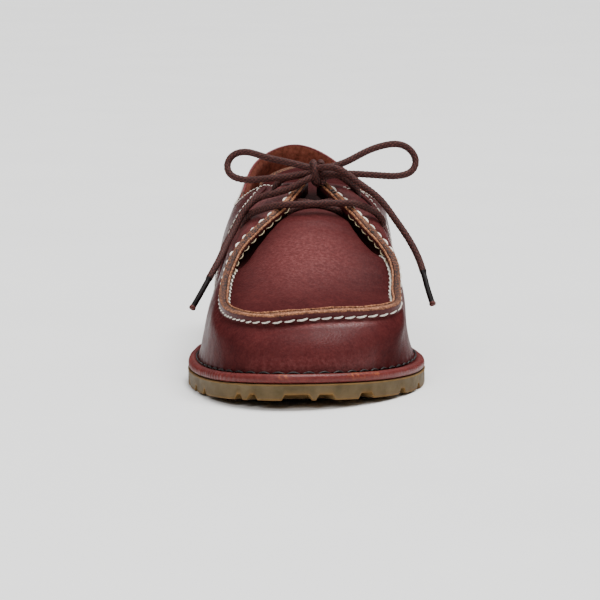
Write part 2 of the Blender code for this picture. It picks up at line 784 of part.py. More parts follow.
LOOP_INNER = (
    (3.4, 157.0, 93.4),
    (-5.5, 154.0, 95.4),
    (-18.6, 150.0, 98.2),
    (-26.6, 147.0, 99.9),
    (-32.8, 147.0, 98.4),
    (-35.7, 149.0, 93.9),
    (-33.8, 152.0, 89.4),
    (-28.6, 154.0, 87.0),
    (-18.7, 156.0, 86.9),
    (-5.6, 157.5, 88.6),
    (3.4, 158.0, 89.6),
)
LOOP_OUTER = (
    (11.0, 157.0, 93.2),
    (20.5, 154.0, 95.6),
    (30.0, 150.0, 100.0),
    (39.6, 147.0, 103.0),
    (46.7, 147.0, 103.3),
    (52.4, 148.5, 99.8),
    (54.2, 150.0, 95.2),
    (52.2, 152.0, 90.8),
    (46.4, 154.0, 88.5),
    (38.0, 156.0, 88.2),
    (24.0, 157.5, 89.2),
    (11.0, 158.0, 89.4),
)
END_INNER = (
    (3.2, 161.4, 87.8),
    (-6.6, 163.0, 84.9),
    (-14.6, 161.0, 81.2),
    (-20.6, 158.5, 78.4),
    (-25.4, 160.5, 75.4),
    (-29.8, 163.5, 72.0),
    (-32.8, 167.0, 67.9),
    (-34.6, 173.0, 62.0),
    (-36.6, 181.0, 57.8),
    (-39.2, 188.0, 53.2),
    (-42.2, 194.0, 48.4),
    (-45.6, 199.0, 42.8),
    (-48.8, 203.0, 37.6),
    (-51.8, 206.0, 32.9),
)
END_OUTER = (
    (11.2, 161.4, 91.6),
    (17.8, 163.5, 89.9),
    (28.4, 168.0, 85.2),
    (40.4, 176.0, 74.4),
    (48.9, 184.0, 62.6),
    (54.4, 192.0, 51.2),
    (57.2, 200.0, 40.6),
    (59.3, 204.0, 34.1),
)
KNOT_CENTRE = (7.2, 157.0, 90.8)
KNOT_RADIUS = 4.6
KNOT_TURNS = 1.2
KNOT_PITCH = 3.4
KNOT_POINTS = 15

knot_route = []
for k in range(KNOT_POINTS):
    turn = KNOT_TURNS * k / (KNOT_POINTS - 1)
    angle = 2 * math.pi * turn
    across = KNOT_CENTRE[0] + KNOT_PITCH * (turn - KNOT_TURNS / 2)
    along = KNOT_CENTRE[1] + KNOT_RADIUS * math.cos(angle)
    knot_route.append((across, along, KNOT_CENTRE[2] + KNOT_RADIUS * math.sin(angle)))

add_cord("lace_bar", BAR)
lace_cross = add_strand("lace_cross", CROSSING, parts)
join = lace_cross.modifiers.new("other strand", "BOOLEAN")
join.operation = "UNION"
join.solver = "EXACT"
join.object = add_strand("other_strand", CROSSING_BACK, cutters)
add_cord("lace_riser_inner", RISER_INNER)
add_cord("lace_riser_outer", RISER_OUTER)
add_cord("lace_knot", knot_route)
add_cord("lace_loop_inner", LOOP_INNER)
add_cord("lace_loop_outer", LOOP_OUTER)
add_cord("lace_end_inner", END_INNER)
add_cord("lace_end_outer", END_OUTER)
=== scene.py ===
import math

import bmesh
import bpy
import numpy as np
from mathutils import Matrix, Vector


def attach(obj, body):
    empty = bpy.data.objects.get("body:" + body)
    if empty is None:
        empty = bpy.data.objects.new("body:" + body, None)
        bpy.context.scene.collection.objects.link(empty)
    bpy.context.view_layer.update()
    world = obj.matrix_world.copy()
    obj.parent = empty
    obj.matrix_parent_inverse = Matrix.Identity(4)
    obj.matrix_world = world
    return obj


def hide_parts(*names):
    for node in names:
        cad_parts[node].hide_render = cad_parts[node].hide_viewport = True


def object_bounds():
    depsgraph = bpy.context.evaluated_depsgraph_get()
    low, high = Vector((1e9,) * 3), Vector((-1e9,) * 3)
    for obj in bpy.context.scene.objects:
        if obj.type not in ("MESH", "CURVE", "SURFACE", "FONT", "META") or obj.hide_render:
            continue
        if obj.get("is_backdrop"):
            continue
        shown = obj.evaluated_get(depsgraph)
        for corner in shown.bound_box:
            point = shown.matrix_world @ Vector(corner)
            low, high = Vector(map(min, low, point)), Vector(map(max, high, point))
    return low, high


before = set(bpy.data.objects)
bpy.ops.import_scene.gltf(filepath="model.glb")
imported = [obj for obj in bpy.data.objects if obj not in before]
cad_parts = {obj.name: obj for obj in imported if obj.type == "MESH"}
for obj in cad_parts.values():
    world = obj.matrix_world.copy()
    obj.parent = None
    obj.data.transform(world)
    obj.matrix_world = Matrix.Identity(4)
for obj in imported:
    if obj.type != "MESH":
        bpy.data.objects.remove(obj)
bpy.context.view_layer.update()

# Camera: a long lens straight in front of the toe, a little above the floor, so that the shoe is
# seen almost without perspective. Its angle and scale come from the photo's outline.
TARGET = Vector((-0.0015, 0.0, 0.0293))
DISTANCE = 1.7
AZIMUTH = math.radians(1.35)
ELEVATION = math.radians(7.5)
PIXELS_PER_METRE = 2102.0
IMAGE_WIDTH = 600
SENSOR_WIDTH = 36.0

camera = bpy.data.objects.new("camera", bpy.data.cameras.new("camera"))
bpy.context.scene.collection.objects.link(camera)
look = Vector((
    math.sin(AZIMUTH) * math.cos(ELEVATION),
    math.cos(AZIMUTH) * math.cos(ELEVATION),
    -math.sin(ELEVATION),
))
camera.location = TARGET - look * DISTANCE
camera.rotation_euler = look.to_track_quat("-Z", "Y").to_euler()
camera.data.sensor_width = SENSOR_WIDTH
camera.data.lens = PIXELS_PER_METRE * DISTANCE * SENSOR_WIDTH / IMAGE_WIDTH
bpy.context.scene.camera = camera


# Outsole: one moulded piece of olive gum rubber with a stacked heel, cut by notches all round and by
# channels across. The rubber is translucent, and the amber glow of its thin edges and notch floors is
# painted into its colour.
MM = 0.001
SOLE_LENGTH = 296.0
BALL_WIDTH = 109.0
SOLE_THICKNESS = 7.2
HEEL_LIFT = 14.0
TOE_SPRING = 4.5
HEEL_BREAST = 80.0
BREAST_RUN = 5.0
ARCH_LEAD = 10.0
FLAT_START = 178.0
FLAT_END = 212.0
LUG_DEPTH = 2.5
NOTCH_REACH = 13.0
NOTCH_SOFT = 0.9
NOTCH_END = 1.0
CHANNELS = (22.0, 42.0, 62.0, 172.0, 188.0, 204.0, 220.0, 236.0, 252.0)
CHANNEL_WIDTH = 5.0
CHANNEL_HALF = 24.0
HEEL_CHANNEL_HALF = 18.0
SOLE_ROWS = 220
SOLE_COLUMNS = 65
OUTLINE = (
    # loop, along as a share of the length, across as a share of half the ball width
    (0.00, 0.000, 0.00),
    (0.09, 0.047, -0.50),
    (0.20, 0.160, -0.69),
    (0.38, 0.375, -0.64),
    (0.52, 0.560, -0.83),
    (0.66, 0.715, -0.98),
    (0.79, 0.868, -0.85),
    (0.90, 0.960, -0.60),
    (1.00, 1.000, -0.21),
    (1.11, 0.969, 0.33),
    (1.22, 0.885, 0.74),
    (1.39, 0.700, 1.01),
    (1.50, 0.560, 0.90),
    (1.63, 0.375, 0.78),
    (1.80, 0.160, 0.69),
    (1.91, 0.047, 0.50),
)
NOTCHES = (
    # loop, width
    (0.045, 4.0), (0.100, 4.0), (0.155, 4.0), (0.210, 4.0),
    (1.955, 4.0), (1.900, 4.0), (1.845, 4.0), (1.790, 4.0),
    (0.520, 4.0), (0.580, 4.0), (0.640, 4.0), (0.700, 4.0),
    (0.750, 4.0), (0.795, 3.6), (0.910, 3.4), (0.941, 4.0),
    (1.023, 12.0), (1.070, 8.0), (1.143, 8.0), (1.235, 5.0),
    (1.300, 4.0), (1.360, 4.0), (1.420, 4.0), (1.480, 4.0),
)
SOLE_EDGE = (
    # in from the outline, share of the wall's height, millimetres above that share
    (0.14, 0.0, 0.14),
    (0.0, 0.0, 0.5),
    (0.0, 0.0, 1.2),
    (0.0, 0.0, 2.2),
    (0.05, 0.5, 0.0),
    (0.0, 1.0, -0.8),
    (-0.18, 1.0, -0.4),
    (0.15, 1.0, 0.0),
)
SOLE_ROUND = 0.45
WALL_AMBER = (
    # how much painted amber glow the rubber has at each row of the wall, from the tread up
    0.85, 0.8, 0.5, 0.15, 0.04, 0.0, 0.0, 0.7, 0.4,
)
# Painted amber glow on the tread, and more on the floors of the notches.
TREAD_AMBER = 0.35
NOTCH_AMBER = 0.4
NUDGE = 0.002


def smooth_through(knots, values):
    """A function that runs through the values at the knots as one smooth (natural cubic) curve."""
    knots = np.array(knots, float)
    values = np.array(values, float).reshape(len(knots), -1)
    steps = np.diff(knots)
    slopes = np.diff(values, axis=0) / steps[:, None]
    system = np.eye(len(knots))
    right = np.zeros_like(values)
    for i in range(1, len(knots) - 1):
        system[i, i - 1:i + 2] = steps[i - 1], 2 * (steps[i - 1] + steps[i]), steps[i]
        right[i] = 6 * (slopes[i] - slopes[i - 1])
    bends = np.linalg.solve(system, right)

    def at(where):
        where = np.asarray(where, float)
        i = np.clip(np.searchsorted(knots, where) - 1, 0, len(steps) - 1)
        before = (where - knots[i])[..., None]
        after = (knots[i + 1] - where)[..., None]
        step = steps[i][..., None]
        curved = (bends[i] * after ** 3 + bends[i + 1] * before ** 3) / (6 * step)
        start = values[i] / step - bends[i] * step / 6
        end = values[i + 1] / step - bends[i + 1] * step / 6
        return curved + start * after + end * before

    return at


def curve_of(rows):
    """A smooth curve through rows, each of which opens with its place on the curve."""
    return smooth_through([row[0] for row in rows], [row[1:] for row in rows])


def ease(value, start, end):
    """0 before start and 1 after end, with a smooth step between."""
    share = np.clip((value - start) / (end - start), 0.0, 1.0)
    return share * share * (3 - 2 * share)


outline_rows = [(loop + turn, across * BALL_WIDTH / 2, along * SOLE_LENGTH)
                for turn in (-2, 0, 2) for loop, along, across in OUTLINE]
outline_knots = curve_of(outline_rows)


def outline_curve(loop):
    """Across and along of the sole's edge; loop runs 0 heel, 1 toe by the inner side, 2 heel again."""
    return outline_knots(np.mod(loop, 2.0))


def outline_point(loop, inset=0.0):
    """The same moved in from the edge, with the way in."""
    run = outline_curve(loop + NUDGE) - outline_curve(loop - NUDGE)
    run /= np.linalg.norm(run, axis=-1, keepdims=True)
    inward = np.stack([run[..., 1], -run[..., 0]], axis=-1)
    return outline_curve(loop) + inward * np.asarray(inset)[..., None], inward


def sole_top(along):
    """Height of the rubber sole's upper face above the floor."""
    lift = HEEL_LIFT * (1 - ease(along, HEEL_BREAST - ARCH_LEAD, FLAT_START))
    spring = TOE_SPRING * np.clip((along - FLAT_END) / (SOLE_LENGTH - FLAT_END), 0.0, None) ** 2
    return SOLE_THICKNESS + lift + spring


def tread(along):
    """Height of the sole's lowest face."""
    bottom = sole_top(along) - SOLE_THICKNESS
    return bottom * ease(along, HEEL_BREAST, HEEL_BREAST + BREAST_RUN)


edge_across = outline_curve(np.linspace(0, 2, 401))[:, 0]
MID_ACROSS = (edge_across.min() + edge_across.max()) / 2


def placed(points):
    """Points given across, along and up in millimetres, in the shoe's frame in metres."""
    points = np.asarray(points, float)
    across = points[..., 0] - MID_ACROSS
    along = SOLE_LENGTH / 2 - points[..., 1]
    return np.stack([across, along, points[..., 2]], axis=-1) * MM


def add_grid(form, points, around=False, closed=False):
    """Rows of vertices and the faces between them; around joins the last row to the first."""
    verts = [[form.verts.new(spot) for spot in row] for row in placed(points).tolist()]
    columns = len(verts[0])
    faces = []
    for i in range(len(verts) if around else len(verts) - 1):
        here, after = verts[i], verts[(i + 1) % len(verts)]
        for j in range(columns if closed else columns - 1):
            above = (j + 1) % columns
            faces.append(form.faces.new((here[j], here[above], after[above], after[j])))
    return verts, faces


def add_piece(name, form, materials, sharp=60.0):
    """An object from a finished form, riding on the shoe."""
    bmesh.ops.remove_doubles(form, verts=form.verts, dist=1e-6)
    bmesh.ops.recalc_face_normals(form, faces=form.faces)
    for face in form.faces:
        face.smooth = True
    mesh = bpy.data.meshes.new(name)
    form.to_mesh(mesh)
    form.free()
    for material in materials:
        mesh.materials.append(material)
    mesh.set_sharp_from_angle(angle=math.radians(sharp))
    piece = bpy.data.objects.new(name, mesh)
    bpy.context.scene.collection.objects.link(piece)
    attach(piece, "root")
    return piece


def linear(colour):
    """A colour written as sRGB hex, in linear light."""
    channels = [int(colour[i:i + 2], 16) / 255 for i in (1, 3, 5)]
    return [c / 12.92 if c <= 0.04045 else ((c + 0.055) / 1.055) ** 2.4 for c in channels] + [1.0]


def add_node(tree, kind, inputs, **settings):
    """A shader node; an input takes a value, or another node's output."""
    made = tree.nodes.new("ShaderNode" + kind)
    for name, value in settings.items():
        setattr(made, name, value)
    for name, value in inputs.items():
        if isinstance(value, bpy.types.NodeSocket):
            tree.links.new(value, made.inputs[name])
        else:
            made.inputs[name].default_value = value
    return made


def start_material(name, **values):
    """A material with its node tree, Principled shader and object coordinates."""
    material = bpy.data.materials.new(name)
    material.use_nodes = True
    tree = material.node_tree
    shader = tree.nodes["Principled BSDF"]
    for socket, value in values.items():
        shader.inputs[socket.replace("_", " ")].default_value = value
    place = add_node(tree, "TexCoord", {}).outputs["Object"]
    return material, tree, shader, place


def mottle(tree, place, size, detail=3.0, roughness=0.55):
    """A cloudy pattern with patches of a size in millimetres."""
    inputs = {"Vector": place, "Scale": 1 / (size * MM), "Detail": detail, "Roughness": roughness}
    return add_node(tree, "TexNoise", inputs).outputs["Fac"]


def shades(tree, source, *stops):
    """A colour ramp over a pattern; each stop is a place from 0 to 1 and a colour."""
    ramp = add_node(tree, "ValToRGB", {"Fac": source})
    while len(ramp.color_ramp.elements) < len(stops):
        ramp.color_ramp.elements.new(1.0)
    for element, (where, colour) in zip(ramp.color_ramp.elements, stops):
        element.position = where
        element.color = linear(colour)
    return ramp.outputs["Color"]


def blend(tree, amount, first, second):
    """Two colours mixed by an amount."""
    return add_node(tree, "Mix", {0: amount, 6: first, 7: second}, data_type="RGBA").outputs[2]


def painted(tree, name):
    """What is painted on a piece's vertices under a name."""
    return add_node(tree, "Attribute", {}, attribute_name=name).outputs["Fac"]


def relief(tree, pattern, depth, normal=None):
    """A bump of a depth in millimetres from a pattern."""
    inputs = {"Height": pattern, "Distance": depth * MM, "Strength": 1.0}
    if normal is not None:
        inputs["Normal"] = normal
    return add_node(tree, "Bump", inputs).outputs["Normal"]


def span(tree, source, low, high):
    """A pattern's values stretched to run from low to high."""
    inputs = {"Value": source, "From Min": 0.25, "From Max": 0.75, "To Min": low, "To Max": high}
    return add_node(tree, "MapRange", inputs).outputs["Result"]


def gum_rubber():
    """Matte olive gum rubber, with a painted amber glow where it is thin."""
    material, tree, shader, place = start_material(
        "gum rubber, moulded matte", IOR=1.52, Specular_IOR_Level=0.03,
        Subsurface_Weight=0.12, Subsurface_Scale=0.002)
    shader.inputs["Subsurface Radius"].default_value = (1.0, 0.6, 0.25)
    painted_glow = painted(tree, "painted_glow")
    olive = shades(tree, mottle(tree, place, 9.0), (0.3, "#504430"), (0.7, "#695a43"))
    amber = shades(tree, mottle(tree, place, 5.0), (0.3, "#654824"), (0.7, "#88663a"))
    tree.links.new(blend(tree, painted_glow, olive, amber), shader.inputs["Base Color"])
    tree.links.new(span(tree, mottle(tree, place, 4.0), 0.42, 0.6), shader.inputs["Roughness"])
    grain = relief(tree, mottle(tree, place, 0.7), 0.05)
    tree.links.new(relief(tree, mottle(tree, place, 6.0), 0.25, grain), shader.inputs["Normal"])
    return material


def tread_cut(across, along):
    """How far the tread is cut away there, from 0 on a lug to 1 on the floor of a notch."""
    cut = np.zeros(np.shape(across))
    for loop, width in NOTCHES:
        edge, inward = outline_point(np.array(loop))
        aside = np.abs((across - edge[0]) * inward[1] - (along - edge[1]) * inward[0])
        deep = (across - edge[0]) * inward[0] + (along - edge[1]) * inward[1]
        notch = 1 - ease(aside, width / 2 - NOTCH_SOFT, width / 2 + NOTCH_SOFT)
        cut = np.maximum(cut, notch * (1 - ease(deep, NOTCH_REACH - NOTCH_END, NOTCH_REACH)))
    for centre in CHANNELS:
        half = HEEL_CHANNEL_HALF if centre < HEEL_BREAST else CHANNEL_HALF
        width = CHANNEL_WIDTH / 2
        channel = 1 - ease(np.abs(along - centre), width - NOTCH_SOFT, width + NOTCH_SOFT)
        cut = np.maximum(cut, channel * (1 - ease(np.abs(across), half - NOTCH_END, half)))
    return cut


notch_rows = []
for loop, width in NOTCHES:
    speed = np.linalg.norm(outline_curve(loop + NUDGE / 2) - outline_curve(loop - NUDGE / 2)) / NUDGE
    for side in (-1, 1):
        for step in (-NOTCH_SOFT, NOTCH_SOFT):
            notch_rows.append(loop + side * (width / 2 + step) / speed)
sole_rows = [min(loop, 2 - loop) for loop in notch_rows]
sole_rows = np.array(sorted(sole_rows + list(np.linspace(0.002, 0.998, SOLE_ROWS))))

form = bmesh.new()
painted_glow_layer = form.verts.layers.float.new("painted_glow")
inner = outline_point(sole_rows, SOLE_ROUND)[0][:, None]
outer = outline_point(2 - sole_rows, SOLE_ROUND)[0][:, None]
floor_spots = inner + (outer - inner) * np.linspace(0, 1, SOLE_COLUMNS)[:, None]
cut = tread_cut(floor_spots[..., 0], floor_spots[..., 1])
height = tread(floor_spots[..., 1]) + LUG_DEPTH * cut
verts, _ = add_grid(form, np.concatenate([floor_spots, height[..., None]], axis=-1))
for row, cuts in zip(verts, cut):
    for vert, depth in zip(row, cuts):
        vert[painted_glow_layer] = TREAD_AMBER + NOTCH_AMBER * depth
around = np.concatenate([sole_rows, 2 - sole_rows[::-1]])
edge_spots = outline_point(around, SOLE_ROUND)[0]
bottom = tread(edge_spots[:, 1]) + LUG_DEPTH * tread_cut(edge_spots[:, 0], edge_spots[:, 1])
top = sole_top(edge_spots[:, 1])
wall = [np.column_stack([edge_spots, bottom])]
for inset, share, above in SOLE_EDGE:
    spots = outline_point(around, inset)[0]
    wall.append(np.column_stack([spots, bottom + (top - bottom) * share + above]))
verts, _ = add_grid(form, np.stack(wall, axis=1), around=True)
for row in verts:
    for vert, amber in zip(row, WALL_AMBER):
        vert[painted_glow_layer] = amber
upper_edge = [row[-1] for row in verts]
for i in range(len(sole_rows) - 1):
    form.faces.new((upper_edge[i], upper_edge[-1 - i], upper_edge[-2 - i], upper_edge[i + 1]))
outsole = add_piece("gum_outsole", form, [gum_rubber()], sharp=45.0)
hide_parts("outsole")


# Welt: a strip of the upper's leather rolled round a cord and laid all round between sole and upper.
# It is gathered into ribs along the inner side, smooth at the toe, and rubbed to orange in three places.
WELT_THICKNESS = 4.4
GAP = 0.3
WELT_STATIONS = 1000
WELT_SAMPLES = 20
WELT_ROLL = (
    # in from the sole's edge, above the sole
    (1.3, 0.0),
    (0.35, 0.5),
    (0.05, 1.7),
    (0.4, 3.1),
    (1.6, 4.0),
    (3.0, 4.05),
    (4.4, 3.1),
)
WELT_BACK = ((13.5, 3.1), (13.5, 0.0))
REACH = (
    # loop, how far the welt stands out from the upper's foot
    (0.00, 4.0), (0.30, 3.6), (0.45, 3.4), (0.56, 4.4), (0.66, 4.7), (0.76, 4.7), (0.88, 5.3),
    (1.00, 5.8), (1.22, 5.8), (1.34, 5.4), (1.44, 4.0), (1.60, 3.6), (1.80, 4.0), (2.00, 4.0),
)
BUNCH = (
    # loop, how much higher the gathered roll stands there, as a share of its height
    (0.36, 0.0), (0.46, 0.30), (0.57, 0.50), (0.64, 0.22), (0.71, 0.0),
)
RIB_PITCH = 3.1
RIB_DEPTH = 0.62
RIB_SLANT = 0.7
RIBS = (
    # loop, strength of the ribs
    (0.00, 0.35), (0.38, 0.45), (0.55, 1.30), (0.70, 1.40), (0.83, 1.10), (0.89, 0.55),
    (0.94, 0.12), (1.00, 0.05), (1.15, 0.05), (1.25, 0.12), (1.35, 0.45), (1.50, 0.60),
    (1.70, 0.45), (2.00, 0.35),
)
RUBS = (
    # loop, half length along the welt
    (1.000, 3.0), (1.128, 9.0), (1.165, 4.0),
)
RUB_CORE = 0.3
RUB_HEIGHT = 0.52
RUB_SPREAD = 0.2
WAXED_LEVEL = 0.25
BURGUNDY = ("#371618", "#451d1e", "#552726")
ROLLED_BURGUNDY = ("#461716", "#5d211f", "#71302c")


def leather(name, dark, body, light, gloss, lit_tone="#6a3434", rub=None):
    """Smooth waxed leather: cloudy dye, fine pores, a soft sheen, rubbed wear where a piece is painted so,
    and painted light and painted shade where a piece is painted with them.
    """
    material, tree, shader, place = start_material(name, IOR=1.5, Specular_IOR_Level=WAXED_LEVEL)
    cloud = mottle(tree, place, 22.0, detail=4.0)
    blotch = mottle(tree, place, 3.6, detail=4.0, roughness=0.65)
    fine = mottle(tree, place, 1.1, detail=2.0)
    dye = shades(tree, cloud, (0.32, dark), (0.5, body), (0.7, light))
    dye = blend(tree, 0.45, dye, shades(tree, blotch, (0.36, dark), (0.5, body), (0.66, light)))
    dye = blend(tree, 0.3, dye, shades(tree, fine, (0.35, dark), (0.65, light)))
    if rub is not None:
        worn = painted(tree, "worn")
        dye = blend(tree, worn, dye, shades(tree, mottle(tree, place, 1.6), (0.42, body), (0.66, rub)))
    else:
        wax = painted(tree, "wax")
        level = add_node(tree, "Math", {0: wax, 1: WAXED_LEVEL}, operation="MULTIPLY").outputs["Value"]
        tree.links.new(level, shader.inputs["Specular IOR Level"])
        # Painted light: a lighter red painted in where a piece is marked, for highlights and for light
        # falling on it.
        painted_light = painted(tree, "painted_light")
        grain = mottle(tree, place, 1.5, detail=3.0, roughness=0.6)
        dye = blend(tree, painted_light, dye, shades(tree, grain, (0.30, light), (0.5, lit_tone), (0.72, "#7f4a48")))
        # Painted shade: near-black painted in where a piece is marked, for shade in valleys, under laces and
        # in hollows.
        painted_shade = painted(tree, "painted_shade")
        dye = blend(tree, painted_shade, dye, shades(tree, fine, (0.3, "#0d0404"), (0.7, "#1c0a09")))
    tree.links.new(dye, shader.inputs["Base Color"])
    tree.links.new(span(tree, mottle(tree, place, 7.0), gloss - 0.06, gloss + 0.08),
                   shader.inputs["Roughness"])
    cells = add_node(tree, "TexVoronoi", {"Vector": place, "Scale": 1 / (1.3 * MM)},
                     feature="DISTANCE_TO_EDGE").outputs["Distance"]
    pores = relief(tree, cells, 0.14)
    pores = relief(tree, mottle(tree, place, 0.7), 0.10, pores)
    tree.links.new(relief(tree, mottle(tree, place, 11.0), 0.35, pores), shader.inputs["Normal"])
    return material


upper_leather = leather("burgundy leather, waxed smooth", *BURGUNDY, gloss=0.34)
welt_leather = leather("burgundy leather, rolled", *ROLLED_BURGUNDY, gloss=0.42, rub="#96502f")


def lengths_along(path):
    """Length of a path so far, at each of its points."""
    return np.append(0.0, np.cumsum(np.linalg.norm(np.diff(path, axis=0), axis=1)))


def read_off(rows, where):
    """A table's second column at places between those in its first, on straight lines."""
    return np.interp(where, *np.array(rows).T)


welt_loops = np.linspace(0, 2, WELT_STATIONS, endpoint=False)
welt_lengths = lengths_along(outline_curve(np.append(welt_loops, 2.0)))


def welt_travel(loops):
    """Length along the sole's edge at each place on the loop."""
    return np.interp(np.mod(loops, 2.0), np.append(welt_loops, 2.0), welt_lengths)


welt_reach = curve_of(REACH)
travel = welt_lengths[:-1]
roll = smooth_through(np.linspace(0, 1, len(WELT_ROLL)), WELT_ROLL)(np.linspace(0, 1, WELT_SAMPLES))
strength = curve_of(RIBS)(welt_loops)[:, 0]
bunch = read_off(BUNCH, welt_loops)
wander = 0.9 * np.sin(travel / 11.0) + 0.6 * np.sin(travel / 4.7 + 1.0)
valley = (0.5 - 0.5 * np.cos(2 * math.pi * travel / RIB_PITCH + wander)) ** 2.5
lumps = 0.10 * np.sin(travel / 3.9) * np.sin(travel / 7.3 + 0.7)
section = []
for k, (inset, above) in enumerate(roll):
    full = math.sin(math.pi * k / (WELT_SAMPLES - 1))
    sunk = full * (RIB_DEPTH * strength * valley + lumps)
    spot = outline_point(welt_loops, inset + sunk * RIB_SLANT)[0]
    rise = above * (1 + full * bunch) - sunk * RIB_SLANT * (above / WELT_THICKNESS)
    section.append(np.column_stack([spot, sole_top(spot[:, 1]) + GAP + rise]))
for inset, above in WELT_BACK:
    spot = outline_point(welt_loops, inset)[0]
    section.append(np.column_stack([spot, sole_top(spot[:, 1]) + GAP + above]))
form = bmesh.new()
worn_layer = form.verts.layers.float.new("worn")
verts, _ = add_grid(form, np.stack(section, axis=1), around=True, closed=True)
for here, row in zip(travel, verts):
    rubbed = 0.0
    for loop, half in RUBS:
        rubbed = max(rubbed, 1 - ease(abs(here - welt_travel(loop)), RUB_CORE * half, half))
    for k in range(WELT_SAMPLES):
        row[k][worn_layer] = rubbed * math.exp(-((k / WELT_SAMPLES - RUB_HEIGHT) / RUB_SPREAD) ** 2)
welt = add_piece("rolled_welt", form, [welt_leather])
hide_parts("welt")


# Insole: a board covered with brown lining leather, seen only through the collar.
# Its solid has the right shape, so it keeps it and takes this finish.
def lining_leather():
    """Brown lining leather with a short matte nap."""
    material, tree, shader, place = start_material(
        "brown lining leather, napped", IOR=1.45, Roughness=0.9, Specular_IOR_Level=0.2)
    nap = shades(tree, mottle(tree, place, 2.2, detail=6.0, roughness=0.7),
                 (0.3, "#582a1b"), (0.55, "#884a3a"), (0.75, "#9e604c"))
    tree.links.new(nap, shader.inputs["Base Color"])
    tree.links.new(relief(tree, mottle(tree, place, 0.5), 0.12), shader.inputs["Normal"])
    return material


lining = lining_leather()
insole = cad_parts["insole"]
insole.data.materials.clear()
insole.data.materials.append(lining)


# Upper: one hollow wall of burgundy leather from the welt to the collar. Round the toe its edge is
# turned up beside the toe piece's edge and sewn to it by hand, which makes the raised seam.
WALL_THICKNESS = 2.2
WALL_FULLNESS = 0.40
RIDGE_HEIGHT = 5.0
RIDGE_END_HEIGHT = 1.7
RIDGE_END_RUN = 0.05
RIDGE_WIDTH = 4.2
RIDGE_TILT = math.radians(22.0)
COLLAR = (
    # loop, across, along, height, lean inward at the edge, flare outward at the welt
    (-0.445, 22.0, 139.0, 83.0, 58.0, 4.0),
    (-0.385, 37.5, 114.0, 73.5, 24.0, 9.0),
    (-0.270, 34.0, 78.0, 74.4, 0.0, 4.0),
    (-0.110, 18.2, 27.0, 85.6, 9.0, 8.0),
    (0.000, 0.0, 12.0, 91.2, 15.0, 8.0),
    (0.110, -18.0, 27.0, 86.0, 10.0, 8.0),
    (0.270, -27.0, 76.0, 75.5, 5.0, 11.0),
    (0.380, -26.5, 112.0, 75.0, 34.0, 20.0),
    (0.445, -12.0, 138.0, 83.8, 62.0, 17.0),
)
CREST = (
    # loop, across, along, height, lean, flare
    (0.470, 1.0, 151.0, 87.2, 84.0, 16.0),
    (0.535, -9.2, 172.0, 77.0, 80.0, -2.0),
    (0.590, -22.4, 190.0, 67.5, 54.0, -9.0),
    (0.660, -32.5, 210.0, 57.3, 39.0, -15.0),
    (0.740, -36.8, 235.0, 46.8, 38.0, -11.0),
    (0.845, -34.2, 258.0, 40.5, 50.0, -6.0),
    (0.915, -25.2, 271.5, 39.8, 62.0, 3.0),
    (1.000, -11.0, 275.5, 40.6, 66.0, 4.0),
    (1.135, 14.3, 266.0, 41.0, 62.0, 2.0),
    (1.235, 38.4, 249.8, 41.2, 38.0, -9.0),
    (1.262, 40.6, 243.5, 42.3, 28.0, -12.0),
    (1.300, 40.8, 233.0, 45.0, 18.0, -15.0),
    (1.380, 40.0, 209.0, 57.1, 22.0, -20.0),
    (1.440, 30.6, 188.0, 68.1, 52.0, -17.0),
    (1.475, 23.6, 176.0, 74.8, 78.0, -4.0),
    (1.530, 9.0, 152.0, 86.7, 84.0, 0.0),
)
RIDGE_PROFILE = (
    # in from the crest's middle, up from the crest, of which the outer face shortens at the ends
    (-2.10, -3.7),
    (-2.16, -2.3),
    (-2.10, -0.7),
    (-1.88, -0.2),
    (-1.35, 0.0),
    (-0.50, -0.05),
    (0.30, -0.1),
    (0.66, -0.25),
    (0.84, -0.8),
    (0.98, -0.8),
    (1.12, -0.1),
    (1.42, 0.15),
    (1.85, 0.0),
    (2.10, -0.5),
    (2.16, -2.0),
    (2.10, -3.7),
    (2.10, -5.0),
)
RIDGE_OUTER_ROWS = 3
RIDGE_RAW_ROWS = (2, 13)
RIDGE_UNDER_ROWS = 4
RIDGE_UNEVEN = 0.16
RIDGE_FACE_SHARE = 0.4
RIDGE_BULGE = 0.12
COLLAR_PROFILE = (
    # in from the wall's outer face, up from the wall's edge
    (0.00, 0.20),
    (0.04, 0.42),
    (0.16, 0.60),
    (0.36, 0.68),
    (0.60, 0.70),
    (0.84, 0.68),
    (1.04, 0.60),
    (1.18, 0.42),
    (1.26, 0.15),
    (1.32, -0.2),
    (1.42, -0.7),
    (1.56, -1.2),
    (1.72, -1.8),
    (1.88, -2.4),
    (2.02, -3.1),
    (2.14, -3.8),
    (2.20, -4.6),
)
COLLAR_RAW_ROWS = (3, 8)
COLLAR_BARE = 0.29
FRONT_LOOP = 1.055
RIDGE_TAN = (
    # row of the profile, how tan its cut leather is along the sides, partly a painted highlight on the sharp
    # edges
    (2, 0.4), (3, 0.5), (4, 0.15), (5, 0.0), (10, 0.4), (11, 0.85), (12, 0.85), (13, 0.5),
)
RIDGE_BROWN_ROW = 3
FULL_TAN = 0.95
WING_TAN = 0.7
WAX = (
    # loop, how glossy the wall is: dull along the sides, polished at the toe and on the wings
    (0.00, 0.5), (0.40, 0.8), (0.46, 1.5), (0.54, 1.3), (0.60, 0.15), (0.77, 0.05), (0.81, 0.05),
    (0.84, 0.01), (0.90, 0.02), (0.96, 0.10), (1.05, 0.4), (1.11, 1.7), (1.155, 1.3), (1.19, 0.04),
    (1.22, 0.006), (1.27, 0.008), (1.30, 0.02), (1.40, 0.04), (1.46, 0.3), (1.53, 0.35), (1.60, 0.6),
    (2.00, 0.5),
)
RIM_WAX = 0.4
TOE_DULLING = 0.8
